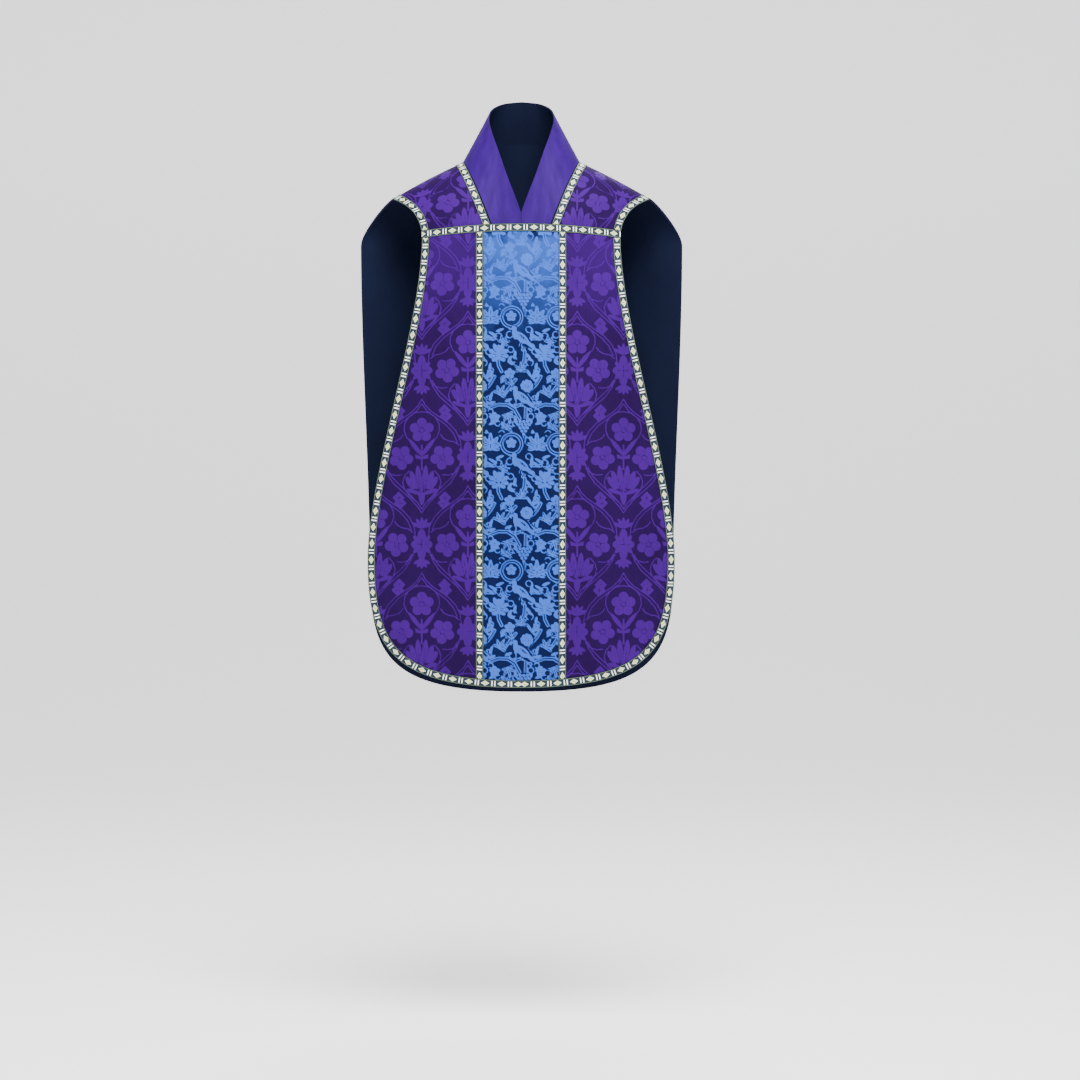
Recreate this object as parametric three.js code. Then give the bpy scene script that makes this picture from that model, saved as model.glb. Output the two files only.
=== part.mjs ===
// A Roman chasuble as it hangs on a wearer's shoulders.
// Millimetres, +Z up, the front faces -Y. The origin lies on the plane of symmetry, at the height
// where the cloth rests on the shoulders beside the neck. "Left" is the wearer's left, at +X.
//
// The vestment is three bodies: the shoulder piece, which runs over both shoulders and carries the
// neck band, and the front and back panels that hang from it. Each body is the same stack of cloth:
// lining inside, interlining, face cloth (damask at the sides, orphrey in the middle), then galloon.

import * as THREE from "three";

// Widths, as half widths from the plane of symmetry
const ORPHREY_HALF = 82.5;
const CHEST_HALF = 199;
const FRONT_HALF = 309;
const SHOULDER_HALF = 262;
const WING_HALF = 330;
const BACK_LOW_HALF = 314;
const NECK_HALF = 118;
const NECK_FRONT_HALF = 56;

// Heights above the shoulder rest
const SEAM_Z = -150;
const SEAM_SAG = 10;
const SHOULDER_DROP = 74;
const BLADE_Z = -165;
const NAPE_RISE = 52;

// Lengths of the hanging panels, and how far down each is widest
const FRONT_LENGTH = 916;
const FRONT_WIDEST = 660;
const BACK_LENGTH = 923;
const BACK_STRAIGHT = 685;

// Depths from the plane of the shoulders, and how fast the sides curve back, per millimetre squared
const CHEST_DEPTH = 124;
const BLADE_DEPTH = 120;
const NAPE_DEPTH = 88;
const CHEST_CURVE = 0.00109;
const FRONT_HEM_CURVE = 0.0006;
const BLADE_CURVE = 0.0007;
const BACK_HEM_CURVE = 0.00045;

// How much fuller the panels are than the chest and the blades, how soon, and how much goes again
const FRONT_FULLNESS = 26;
const FRONT_FULLNESS_RATE = 5;
const FRONT_TAKEN_BACK = 12;
const BACK_FULLNESS = 20;
const BACK_FULLNESS_RATE = 4;

// The shoulder line: how far it moves back, and how much it bows
const SHOULDER_BACK = 5;
const SHOULDER_BOW = 0.15;
const NAPE_ROUNDNESS = 0.6;
const NAPE_RISE_ROUNDNESS = 0.9;
const ARMHOLE_ROUNDNESS = 2.6;
const WING_ROUNDNESS = 1.0;

// Shares that place the handles of the outlines' curves
const FRONT_HANDLES = [0.28, 0.74];
const BACK_HANDLES = [0.35, 0.7];
const CORNER_HANDLE = 0.74;
const HEM_HANDLE = 0.81;

// Cloth and braid
const GALLOON_WIDTH = 15;
const LINING = 0.6;
const INTERLINING = 1.0;
const FACE_CLOTH = 0.8;
const BRAID = 1.0;
const LAYER_GAP = 0.3;
const BRAID_GAP = 0.5;
const SEAM_GAP = 0.2;
const BAND_LIFT = 3;
const BAND_EASE = 0.7;
const BRAID_END_GAP = 0.8;

// Facets
const SIDE_COLUMNS = 5;
const MIDDLE_COLUMNS = 4;
const PANEL_ROWS = 15;
const BAND_ROWS = 3;
const CHEST_STEPS = 16;
const CORNER_AT = 0.85;
const NAPE_BRAID_TURN = 7;
const AFTER_RIDGE = 1e-6;
const OUT_TO_SIDE = 0.4;
const OUT_TO_FRONT = 10;
const OUT_UP = 60;
const BACK_TURNS = [0, NAPE_BRAID_TURN, 21, 38, 55, 72, 90];
const ABOVE_BRAID_TURN = -83;
const CHEST_TURNS = [-90, ABOVE_BRAID_TURN, -68, -52, -35, -17, 0];

const rad = THREE.MathUtils.degToRad;
const lerp = THREE.MathUtils.lerp;

// How far along the cloth layers reach outwards from its inner face
const liningLayer = [0, LINING];
const interliningLayer = [LINING + LAYER_GAP, LINING + LAYER_GAP + INTERLINING];
const faceLow = interliningLayer[1] + LAYER_GAP;
const faceLayer = [faceLow, faceLow + FACE_CLOTH];
const braidLow = faceLayer[1] + BRAID_GAP;
const braidLayer = [braidLow, braidLow + BRAID];

// ---------------------------------------------------------------- the shape of the hanging cloth

// The chest seam dips a little towards the arms.
function seamZ(x) {
  return SEAM_Z - SEAM_SAG * (x / CHEST_HALF) ** 2;
}

// Inner face of the front: full over the chest, falling nearly plumb below it.
function frontDepth(x, z) {
  const down = THREE.MathUtils.clamp((SEAM_Z - z) / FRONT_LENGTH, 0, 1);
  const gained = FRONT_FULLNESS * (1 - Math.exp(-FRONT_FULLNESS_RATE * down));
  const fullness = gained - FRONT_TAKEN_BACK * down;
  const curve = lerp(CHEST_CURVE, FRONT_HEM_CURVE, THREE.MathUtils.smoothstep(down, 0, 1));
  return curve * x * x - CHEST_DEPTH - fullness;
}

// Inner face of the back, below the shoulder blades.
function backDepth(x, z) {
  const down = THREE.MathUtils.clamp((BLADE_Z - z) / BACK_LENGTH, 0, 1);
  const fullness = BACK_FULLNESS * (1 - Math.exp(-BACK_FULLNESS_RATE * down));
  const curve = lerp(BLADE_CURVE, BACK_HEM_CURVE, THREE.MathUtils.smoothstep(down, 0, 1));
  return BLADE_DEPTH + fullness - curve * x * x;
}

// The line along the top of the shoulder, from the neck to the tip and on into the wing.
function ridge(x) {
  const out = (Math.abs(x) - NECK_HALF) / (SHOULDER_HALF - NECK_HALF);
  const bow = SHOULDER_BOW * out * (out - 1);
  return { y: SHOULDER_BACK * out, z: -SHOULDER_DROP * (out + bow) };
}

// The neck edge of the back cloth, rising to the nape; outside the neck it is the ridge.
function backTop(x) {
  const across = Math.abs(x) / NECK_HALF;
  if (across >= 1) {
    return ridge(x);
  }
  const inside = 1 - across * across;
  const y = NAPE_DEPTH * inside ** NAPE_ROUNDNESS;
  return { y, z: NAPE_RISE * inside ** NAPE_RISE_ROUNDNESS };
}

// Over the shoulder: turn is -90 degrees at the chest seam, 0 on the ridge and 90 at the blades.
function overShoulder(x, turn) {
  const angle = rad(Math.abs(turn));
  if (turn <= 0) {
    const top = ridge(x);
    const y = lerp(top.y, frontDepth(x, SEAM_Z), Math.sin(angle));
    const z = lerp(top.z, seamZ(x), 1 - Math.cos(angle));
    return new THREE.Vector3(x, y, z);
  }
  const top = backTop(x);
  const round = Math.min(1, (x / NECK_HALF) ** 2);
  const fall = lerp(turn / 90, 1 - Math.cos(angle), round);
  const y = lerp(top.y, backDepth(x, BLADE_Z), Math.sin(angle));
  return new THREE.Vector3(x, y, lerp(top.z, BLADE_Z, fall));
}

// Half widths of the shoulder piece at a turn: its neck edge and its outer edge.
function neckEdge(turn) {
  return lerp(NECK_FRONT_HALF, NECK_HALF, Math.cos(rad(turn)));
}
function armEdge(turn) {
  const [end, roundness] = turn < 0
    ? [CHEST_HALF, ARMHOLE_ROUNDNESS] : [WING_HALF, WING_ROUNDNESS];
  return lerp(SHOULDER_HALF, end, Math.abs(Math.sin(rad(turn))) ** roundness);
}

// Flat outlines of the panels, from the top outer corner round to the middle of the hem
function frontOutline() {
  const widestZ = SEAM_Z - FRONT_WIDEST;
  const hemZ = SEAM_Z - FRONT_LENGTH;
  const corner = (widestZ - hemZ) * CORNER_HANDLE;
  const edge = new THREE.Path();
  edge.moveTo(CHEST_HALF, seamZ(CHEST_HALF));
  edge.bezierCurveTo(
    CHEST_HALF, SEAM_Z - FRONT_WIDEST * FRONT_HANDLES[0],
    FRONT_HALF, SEAM_Z - FRONT_WIDEST * FRONT_HANDLES[1],
    FRONT_HALF, widestZ);
  edge.bezierCurveTo(FRONT_HALF, widestZ - corner, FRONT_HALF * HEM_HANDLE, hemZ, 0, hemZ);
  return edge;
}
function backOutline() {
  const straightZ = BLADE_Z - BACK_STRAIGHT;
  const hemZ = BLADE_Z - BACK_LENGTH;
  const corner = (straightZ - hemZ) * CORNER_HANDLE;
  const edge = new THREE.Path();
  edge.moveTo(WING_HALF, BLADE_Z);
  edge.bezierCurveTo(
    WING_HALF, BLADE_Z - BACK_STRAIGHT * BACK_HANDLES[0],
    BACK_LOW_HALF, BLADE_Z - BACK_STRAIGHT * BACK_HANDLES[1],
    BACK_LOW_HALF, straightZ);
  edge.bezierCurveTo(BACK_LOW_HALF, straightZ - corner, BACK_LOW_HALF * HEM_HANDLE, hemZ, 0, hemZ);
  return edge;
}

// The share of the outline's length at which its rounded part has come in to a half width.
function shareAt(outline, halfWidth) {
  let outer = 0.5;
  let inner = 1;
  for (let step = 0; step < 40; step += 1) {
    const middle = (outer + inner) / 2;
    if (outline.getPointAt(middle).x > halfWidth) {
      outer = middle;
    } else {
      inner = middle;
    }
  }
  return inner;
}

// ---------------------------------------------------------------- closed solids from cloth surfaces

// A surface of four-sided cells. Patches that meet share their vertices, so one set of normals
// serves every layer, and the layers' facets lie parallel.
class ClothSurface {
  constructor() {
    this.points = [];
    this.known = new Map();
    this.patches = {};
  }

  vertex(point) {
    const key = [point.x, point.y, point.z].map((v) => Math.round(v * 100)).join();
    if (!this.known.has(key)) {
      this.known.set(key, this.points.length);
      this.points.push(point.clone());
    }
    return this.known.get(key);
  }

  // place(down, across) gives the point for each of the rows' and the columns' values.
  patch(name, rows, columns, place) {
    this.patches[name] = rows.map((down) =>
      columns.map((across) => this.vertex(place(down, across))));
  }

  // The cells of some patches that keep(row, column) says yes to
  pick(names, keep = () => true) {
    return names.flatMap((name) =>
      this.cells[name].flatMap((row, r) => row.filter((cell, c) => keep(r, c))));
  }

  // Turns every cell to face away from the wearer and averages the cells' normals at each vertex.
  close() {
    this.cells = {};
    this.normals = this.points.map(() => new THREE.Vector3());
    for (const [name, ids] of Object.entries(this.patches)) {
      this.cells[name] = [];
      for (let row = 0; row + 1 < ids.length; row += 1) {
        this.cells[name].push([]);
        for (let column = 0; column + 1 < ids[row].length; column += 1) {
          const cell = [ids[row][column], ids[row][column + 1],
            ids[row + 1][column + 1], ids[row + 1][column]];
          const [a, b, c, d] = cell.map((id) => this.points[id]);
          const normal = c.clone().sub(a).cross(d.clone().sub(b));
          const outwards = new THREE.Vector3(a.x * OUT_TO_SIDE, a.y - OUT_TO_FRONT, OUT_UP);
          if (normal.dot(outwards) < 0) {
            cell.reverse();
            normal.negate();
          }
          this.cells[name][row].push(cell);
          for (const id of cell) {
            this.normals[id].add(normal);
          }
        }
      }
    }
    for (const normal of this.normals) {
      normal.normalize();
    }
    return this;
  }

  // The sides that only one of the cells has, keyed and in the cells' own direction
  openSides(cells) {
    const sides = new Map();
    for (const cell of cells) {
      cell.forEach((from, k) => {
        const to = cell[(k + 1) % 4];
        const back = `${to},${from}`;
        if (sides.has(back)) {
          sides.delete(back);
        } else {
          sides.set(`${from},${to}`, [from, to]);
        }
      });
    }
    return [...sides.values()];
  }

  // The vertex next to one on the surface's rim, on the side away from another vertex
  besideOnRim(id, other) {
    const sides = this.openSides(Object.values(this.cells).flat(2));
    const pair = sides.find(([from, to]) =>
      (from === id && to !== other) || (to === id && from !== other));
    return pair[0] === id ? pair[1] : pair[0];
  }

  // One closed solid over the cells, between two distances from the surface. Its rim is drawn in
  // by a seam gap.
  layer(cells, [low, high], gap = SEAM_GAP) {
    const sides = this.openSides(cells);
    const rim = new Set(sides.flat());
    const inwards = new Map([...rim].map((id) => [id, new THREE.Vector3()]));
    for (const cell of cells) {
      const middle = new THREE.Vector3();
      for (const id of cell) {
        middle.addScaledVector(this.points[id], 0.25);
      }
      for (const id of cell) {
        if (rim.has(id)) {
          inwards.get(id).add(middle.clone().sub(this.points[id]));
        }
      }
    }
    const numbers = new Map();
    const positions = [];
    const number = (id) => {
      if (!numbers.has(id)) {
        numbers.set(id, numbers.size);
        const base = this.points[id].clone();
        if (rim.has(id)) {
          base.addScaledVector(inwards.get(id).normalize(), gap * Math.SQRT2);
        }
        for (const distance of [low, high]) {
          positions.push(...base.clone().addScaledVector(this.normals[id], distance).toArray());
        }
      }
      return numbers.get(id) * 2;
    };
    const faces = [];
    for (const [a, b, c, d] of cells.map((cell) => cell.map(number))) {
      faces.push(a + 1, b + 1, c + 1, a + 1, c + 1, d + 1);
      faces.push(a, c, b, a, d, c);
    }
    for (const [from, to] of sides) {
      const [a, b] = [number(from), number(to)];
      faces.push(b + 1, a + 1, a, b + 1, a, b);
    }
    const geometry = new THREE.BufferGeometry();
    geometry.setAttribute("position", new THREE.Float32BufferAttribute(positions, 3));
    geometry.setIndex(faces);
    return geometry;
  }
}

// A side patch between the orphrey seam and a rounded outline, as a blend of its four edges
function sidePatch(outline, topZ, depth, side) {
  const seamShare = shareAt(outline, ORPHREY_HALF);
  const cornerShare = shareAt(outline, outline.getPointAt(0.5).x * CORNER_AT);
  const hem = outline.getPointAt(seamShare);
  const topIn = new THREE.Vector2(ORPHREY_HALF, topZ(ORPHREY_HALF));
  const topOut = outline.getPointAt(0);
  const corner = outline.getPointAt(cornerShare);
  return (down, across) => {
    const inner = topIn.clone().lerp(hem, down);
    const outer = outline.getPointAt(down * cornerShare);
    const top = new THREE.Vector2(lerp(ORPHREY_HALF, topOut.x, across), 0);
    top.y = topZ(top.x);
    const bottom = outline.getPointAt(lerp(seamShare, cornerShare, across));
    const flat = inner.lerp(outer, across).add(top.lerp(bottom, down));
    const corners = topIn.clone().lerp(topOut, across);
    corners.lerp(hem.clone().lerp(corner, across), down);
    flat.sub(corners);
    return new THREE.Vector3(side * flat.x, depth(flat.x, flat.y), flat.y);
  };
}

// The middle patch, between the two orphrey seams
function middlePatch(outline, topZ, depth) {
  return (down, across) => {
    const x = lerp(-ORPHREY_HALF, ORPHREY_HALF, across);
    const hemZ = outline.getPointAt(shareAt(outline, Math.abs(x))).y;
    const z = lerp(topZ(x), hemZ, down);
    return new THREE.Vector3(x, depth(x, z), z);
  };
}

function hangingPanel(outline, topZ, depth) {
  const cloth = new ClothSurface();
  const rows = shares(PANEL_ROWS);
  for (const [name, side] of [["left", 1], ["right", -1]]) {
    cloth.patch(name, rows, shares(SIDE_COLUMNS), sidePatch(outline, topZ, depth, side));
  }
  cloth.patch("middle", rows, shares(MIDDLE_COLUMNS), middlePatch(outline, topZ, depth));
  return cloth.close();
}

// The line of vertices round a panel's edge, from the right top corner to the left top corner
function panelRim(cloth) {
  const { left, right, middle } = cloth.patches;
  const downSide = (ids) => ids.map((row) => row[SIDE_COLUMNS]);
  const alongHem = (ids) => ids[PANEL_ROWS].slice().reverse();
  const rim = [...downSide(right), ...alongHem(right), ...middle[PANEL_ROWS],
    ...alongHem(left).reverse(), ...downSide(left).reverse()];
  return rim.filter((id, k) => id !== rim[k - 1]);
}

// ---------------------------------------------------------------- galloon braids

// Equal shares from 0 to 1
function shares(count) {
  return Array.from({ length: count + 1 }, (_, k) => k / count);
}

// Moves the ends of a line in along it.
function shorten(line, atStart, atEnd) {
  const cut = line.map((point) => point.clone());
  const along = (from, to, distance) => {
    const step = to.clone().sub(from).normalize();
    from.addScaledVector(step, distance);
  };
  along(cut[0], cut[1], atStart);
  along(cut.at(-1), cut.at(-2), atEnd);
  return cut;
}

// A flat braid along a line of cloth vertices. It reaches from `near` to `far` beside the line, on
// the side that towards(point) leads to, and each end is cut along the edge of the cloth there.
function braid(cloth, ids, towards, near, far, layer, trims) {
  const line = ids.map((id) => cloth.points[id]);
  const last = line.length - 1;
  const across = line.map((point, k) => {
    const before = line[Math.max(0, k - 1)];
    const after = line[Math.min(last, k + 1)];
    const step = after.clone().sub(before).cross(cloth.normals[ids[k]]).normalize();
    return step.dot(towards(point)) < 0 ? step.negate() : step;
  });
  for (const [end, next] of [[0, 1], [last, last - 1]]) {
    const beside = cloth.besideOnRim(ids[end], ids[next]);
    const cut = cloth.points[beside].clone().sub(line[end]).normalize();
    across[end] = cut.divideScalar(cut.dot(across[end]));
  }
  const edge = (distance) => line.map((point, k) =>
    point.clone().addScaledVector(across[k], distance));
  const edges = [near, far].map((distance) => shorten(edge(distance), ...trims));
  const strip = new ClothSurface();
  strip.patch("braid", [...line.keys()], [0, 1], (k, side) => edges[side][k]);
  return strip.close().layer(strip.pick(["braid"]), layer, 0);
}

// ---------------------------------------------------------------- the three bodies' surfaces

const front = hangingPanel(frontOutline(), seamZ, frontDepth);
const back = hangingPanel(backOutline(), () => BLADE_Z, backDepth);

// The shoulder piece: a yoke over each shoulder, and the cloth between them down to the blades.
// A column as wide as the galloon runs along each neck edge and each outer edge, and the orphrey's
// seam has half a galloon on each side of it.
const HALF_GALLOON = GALLOON_WIDTH / 2;
const yokeColumns = [-1, ...shares(SIDE_COLUMNS - 2), 2];
function fromNeckToArm(inner, outer, share) {
  if (share < 0) {
    return inner;
  }
  return share > 1 ? outer : lerp(inner + GALLOON_WIDTH, outer - GALLOON_WIDTH, share);
}
// The turn at which the yoke comes out from under the chest galloon
function turnAboveBraid(x) {
  const height = ridge(x).z - seamZ(x);
  return -THREE.MathUtils.radToDeg(Math.acos((GALLOON_WIDTH + BRAID_END_GAP) / height));
}
const shoulders = new ClothSurface();
for (const [name, side] of [["left", 1], ["right", -1]]) {
  shoulders.patch(`yoke_${name}`, CHEST_TURNS, yokeColumns, (turn, share) => {
    const x = side * fromNeckToArm(neckEdge(turn), armEdge(turn), share);
    return overShoulder(x, turn === ABOVE_BRAID_TURN ? turnAboveBraid(x) : turn);
  });
  shoulders.patch(`wing_${name}`, BACK_TURNS, yokeColumns, (turn, share) =>
    overShoulder(side * fromNeckToArm(NECK_HALF, armEdge(turn), share), turn + AFTER_RIDGE));
  const napeColumns = [ORPHREY_HALF, ORPHREY_HALF + HALF_GALLOON, NECK_HALF - HALF_GALLOON,
    NECK_HALF];
  shoulders.patch(`nape_${name}`, BACK_TURNS, napeColumns, (turn, x) =>
    overShoulder(side * x, turn + AFTER_RIDGE));
}
const middleHalf = [0, ORPHREY_HALF / 2, ORPHREY_HALF - HALF_GALLOON, ORPHREY_HALF];
const middleColumns = [...middleHalf.slice(1).reverse().map((x) => -x), ...middleHalf];
shoulders.patch("middle", BACK_TURNS, middleColumns, (turn, x) =>
  overShoulder(x, turn + AFTER_RIDGE));
shoulders.close();

// The neck edge on one side, from the chest seam over the shoulder to the middle of the nape
function neckLine(name) {
  const yoke = shoulders.patches[`yoke_${name}`].map((row) => row[0]);
  const nape = shoulders.patches[`nape_${name}`][0].slice(0, -1).reverse();
  const middle = shoulders.patches.middle[0];
  const centre = (middle.length - 1) / 2;
  const behind = name === "left" ? middle.slice(centre).reverse() : middle.slice(0, centre + 1);
  return [...yoke, ...nape, ...behind.slice(1)];
}

// The free edge of the neck band: up both sides of the V and round behind the neck
const freeEdge = new THREE.CatmullRomCurve3([
  new THREE.Vector3(0, -121, -113),
  new THREE.Vector3(9, -116, -86),
  new THREE.Vector3(27, -100, -38),
  new THREE.Vector3(43, -78, 10),
  new THREE.Vector3(58, -50, 55),
  new THREE.Vector3(65, -15, 88),
  new THREE.Vector3(58, 28, 115),
  new THREE.Vector3(34, 56, 131),
  new THREE.Vector3(0, 64, 136),
]);

// The band is ruled from the neck edge to its free edge. In front it starts on the chest seam.
const band = new ClothSurface();
for (const [name, side] of [["left", 1], ["right", -1]]) {
  const chest = [0, 0.5].map((share) => {
    const x = side * NECK_FRONT_HALF * share;
    return new THREE.Vector3(x, frontDepth(x, SEAM_Z), seamZ(x));
  });
  const lower = [...chest, ...neckLine(name).map((id) => shoulders.points[id])];
  const lengths = [0];
  lower.slice(1).forEach((point, k) => lengths.push(lengths[k] + point.distanceTo(lower[k])));
  band.patch(name, [...shares(BAND_ROWS).slice(0, -1), "lift", 1], [...lower.keys()], (down, k) => {
    const upper = freeEdge.getPointAt((lengths[k] / lengths.at(-1)) ** BAND_EASE);
    upper.x *= side;
    const share = down === "lift" ? 1 - BAND_LIFT / lower[k].distanceTo(upper) : down;
    return upper.lerp(lower[k], share);
  });
}
band.close();

// ---------------------------------------------------------------- the pieces

const chasuble = new THREE.Group();

function cloth(colour, roughness) {
  return () => new THREE.MeshStandardMaterial({ color: colour, roughness, metalness: 0 });
}
const purpleDamask = cloth(0x4a2a9c, 0.5);
const blueDamask = cloth(0x4a7cc4, 0.5);
const purpleSatin = cloth(0x5a35b0, 0.4);
const navyLining = cloth(0x1f2745, 0.6);
const canvas = cloth(0x2c2740, 0.9);
const wovenGalloon = cloth(0xc9cfa0, 0.6);

function add(name, geometry, material) {
  const mesh = new THREE.Mesh(geometry, material());
  mesh.name = name;
  chasuble.add(mesh);
}

// Both hanging panels are made up the same way.
for (const [name, panel] of [["front", front], ["back", back]]) {
  const all = panel.pick(["left", "right", "middle"]);
  add(`${name}_lining`, panel.layer(all, liningLayer), navyLining);
  add(`${name}_interlining`, panel.layer(all, interliningLayer), canvas);
  add(`${name}_orphrey`, panel.layer(panel.pick(["middle"]), faceLayer), blueDamask);
  const inwards = (point) => new THREE.Vector3(-point.x, 0, SEAM_Z - FRONT_LENGTH / 2 - point.z);
  for (const side of ["left", "right"]) {
    add(`${name}_damask_${side}`, panel.layer(panel.pick([side]), faceLayer), purpleDamask);
    const seam = panel.patches[side].map((row) => row[0]);
    const trims = [BRAID_END_GAP, GALLOON_WIDTH + BRAID_END_GAP];
    const galloon = braid(panel, seam, inwards, -GALLOON_WIDTH / 2, GALLOON_WIDTH / 2,
      braidLayer, trims);
    add(`${name}_orphrey_galloon_${side}`, galloon, wovenGalloon);
  }
  const edging = braid(panel, panelRim(panel), inwards, 0, GALLOON_WIDTH, braidLayer,
    [BRAID_END_GAP, BRAID_END_GAP]);
  add(`${name}_edge_galloon`, edging, wovenGalloon);
}

// The shoulder piece
const sides = ["left", "right"];
const everywhere = ["yoke", "nape", "wing"].flatMap((part) => sides.map((side) => `${part}_${side}`));
const wholeShoulders = shoulders.pick([...everywhere, "middle"]);
add("shoulder_lining", shoulders.layer(wholeShoulders, liningLayer), navyLining);
add("shoulder_interlining", shoulders.layer(wholeShoulders, interliningLayer), canvas);
add("upper_back_orphrey", shoulders.layer(shoulders.pick(["middle"]), faceLayer), blueDamask);
const lastMiddle = middleColumns.length - 2;
const lastYoke = yokeColumns.length - 2;
for (const side of sides) {
  const names = ["yoke", "nape", "wing"].map((part) => `${part}_${side}`);
  add(`shoulder_damask_${side}`, shoulders.layer(shoulders.pick(names), faceLayer), purpleDamask);
  const seamColumn = side === "left" ? lastMiddle : 0;
  const overSeam = [
    ...shoulders.pick(["middle"], (row, column) => row > 0 && column === seamColumn),
    ...shoulders.pick([`nape_${side}`], (row, column) => row > 0 && column === 0)];
  add(`upper_orphrey_galloon_${side}`, shoulders.layer(overSeam, braidLayer), wovenGalloon);
  const overEdge = [
    ...shoulders.pick([`yoke_${side}`], (row, column) => row > 0 && column === lastYoke),
    ...shoulders.pick([`wing_${side}`], (row, column) => column === lastYoke)];
  add(`armhole_galloon_${side}`, shoulders.layer(overEdge, braidLayer), wovenGalloon);
}

// The neck galloon follows the neck edge from the chest seam round behind the neck and back.
const roundNeck = [
  ...shoulders.pick(["yoke_left", "yoke_right"], (row, column) => row > 0 && column === 0),
  ...shoulders.pick(["wing_left", "wing_right"], (row, column) => row === 0 && column === 0),
  ...shoulders.pick(["nape_left", "nape_right", "middle"], (row) => row === 0)];
add("neck_galloon", shoulders.layer(roundNeck, braidLayer), wovenGalloon);

// The chest galloon covers the seam's upper side, from arm to arm.
const chest = new ClothSurface();
chest.patch("braid", [0, 1], shares(CHEST_STEPS), (down, across) => {
  const x = lerp(-CHEST_HALF, CHEST_HALF, across);
  const z = seamZ(x) + SEAM_GAP + GALLOON_WIDTH * (1 - down);
  return new THREE.Vector3(x, frontDepth(x, SEAM_Z), z);
});
add("chest_galloon", chest.close().layer(chest.pick(["braid"]), braidLayer, 0), wovenGalloon);

// The neck band: satin halves outside, joined in front and at the nape, over a stay and a facing
const aboveLift = (row) => row < BAND_ROWS;
add("neck_band_facing", band.layer(band.pick(sides), liningLayer), navyLining);
add("neck_band_stay", band.layer(band.pick(sides, aboveLift), interliningLayer), canvas);
for (const side of sides) {
  add(`neck_band_${side}`, band.layer(band.pick([side], aboveLift), faceLayer), purpleSatin);
}

export default chasuble;
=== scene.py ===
# %% [markdown]
# # A Roman chasuble in purple and blue damask
# A chasuble is the outer vestment of a priest. This Roman one has a stiff front and back that hang
# from the shoulders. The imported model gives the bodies, the joints and a plain solid for each
# piece. Here every cloth is made again as a fine sheet with its woven pattern.

# %% Load the frame and keep the size of the plain model
import math

import bpy
import numpy as np
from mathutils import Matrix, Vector


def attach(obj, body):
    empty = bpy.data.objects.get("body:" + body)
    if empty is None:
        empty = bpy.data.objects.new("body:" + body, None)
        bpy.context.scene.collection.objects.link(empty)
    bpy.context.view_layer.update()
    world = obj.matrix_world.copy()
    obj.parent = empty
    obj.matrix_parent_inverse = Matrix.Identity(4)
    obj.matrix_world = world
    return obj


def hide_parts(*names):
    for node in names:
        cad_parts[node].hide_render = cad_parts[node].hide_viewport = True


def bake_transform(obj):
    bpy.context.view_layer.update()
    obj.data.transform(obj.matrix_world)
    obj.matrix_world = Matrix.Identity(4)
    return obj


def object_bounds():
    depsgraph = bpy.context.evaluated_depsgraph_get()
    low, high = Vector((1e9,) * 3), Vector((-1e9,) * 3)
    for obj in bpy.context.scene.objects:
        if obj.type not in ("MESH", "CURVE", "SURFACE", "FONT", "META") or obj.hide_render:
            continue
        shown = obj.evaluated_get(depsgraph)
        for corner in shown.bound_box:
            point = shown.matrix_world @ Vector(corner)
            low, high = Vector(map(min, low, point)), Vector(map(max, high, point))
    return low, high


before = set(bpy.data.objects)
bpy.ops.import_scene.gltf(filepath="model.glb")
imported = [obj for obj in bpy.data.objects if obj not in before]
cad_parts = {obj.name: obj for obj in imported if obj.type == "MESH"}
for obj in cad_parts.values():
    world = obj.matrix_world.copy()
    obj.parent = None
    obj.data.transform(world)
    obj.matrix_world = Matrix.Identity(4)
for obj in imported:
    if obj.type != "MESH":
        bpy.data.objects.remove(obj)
cad_low, cad_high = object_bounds()
MM = 0.001

# %% [markdown]
# ## The camera
# A long lens far away keeps the straight column straight. It looks level along +Y, from the height
# of the lower front, a little to the wearer's left of the middle.

# %% Place the camera


def add_object(name, data):
    thing = bpy.data.objects.new(name, data)
    bpy.context.scene.collection.objects.link(thing)
    return thing


CAMERA_DISTANCE = 6.0
CAMERA_X = 0.038
CAMERA_Z = -0.77
camera_data = bpy.data.cameras.new("camera")
camera_data.lens = 100
camera_data.sensor_width = 36
camera = add_object("camera", camera_data)
camera.location = (CAMERA_X, cad_low.y - CAMERA_DISTANCE, CAMERA_Z)
camera.rotation_euler = (math.radians(90), 0, 0)
bpy.context.scene.camera = camera
print("camera at", tuple(round(c, 3) for c in camera.location))

# %% [markdown]
# ## The studio
# The vestment hangs in front of a pale paper sweep: a floor that curves up into a wall. A large
# soft lamp above the camera lights the tilted chest and shoulders most. Two weaker lamps fill the
# sides, and one behind lights the back. The paper is a stage, so it isn't part of the vestment.

# %% Make the sweep
FLOOR_Z = -1.75
WALL_Y = 9.0
SWEEP_RADIUS = 3.0
SWEEP_HALF = 14.0


def hex_colour(text):
    """An sRGB hex colour as the linear RGBA that the shaders take."""
    values = [int(text[k:k + 2], 16) / 255 for k in (0, 2, 4)]
    linear = [v / 12.92 if v <= 0.04045 else ((v + 0.055) / 1.055) ** 2.4 for v in values]
    return (*linear, 1.0)


def add_node(tree, kind, inputs=None, **settings):
    """Adds a node with its settings. An input is a value, or a socket to link from."""
    node = tree.nodes.new(kind)
    for name, value in settings.items():
        setattr(node, name, value)
    for name, value in (inputs or {}).items():
        if isinstance(value, bpy.types.NodeSocket):
            tree.links.new(value, node.inputs[name])
        else:
            node.inputs[name].default_value = value
    return node


def new_material(name):
    """A new material, its tree and its surface shader, which is already linked."""
    material = bpy.data.materials.new(name)
    material.use_nodes = True
    return material, material.node_tree, material.node_tree.nodes["Principled BSDF"]


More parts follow.
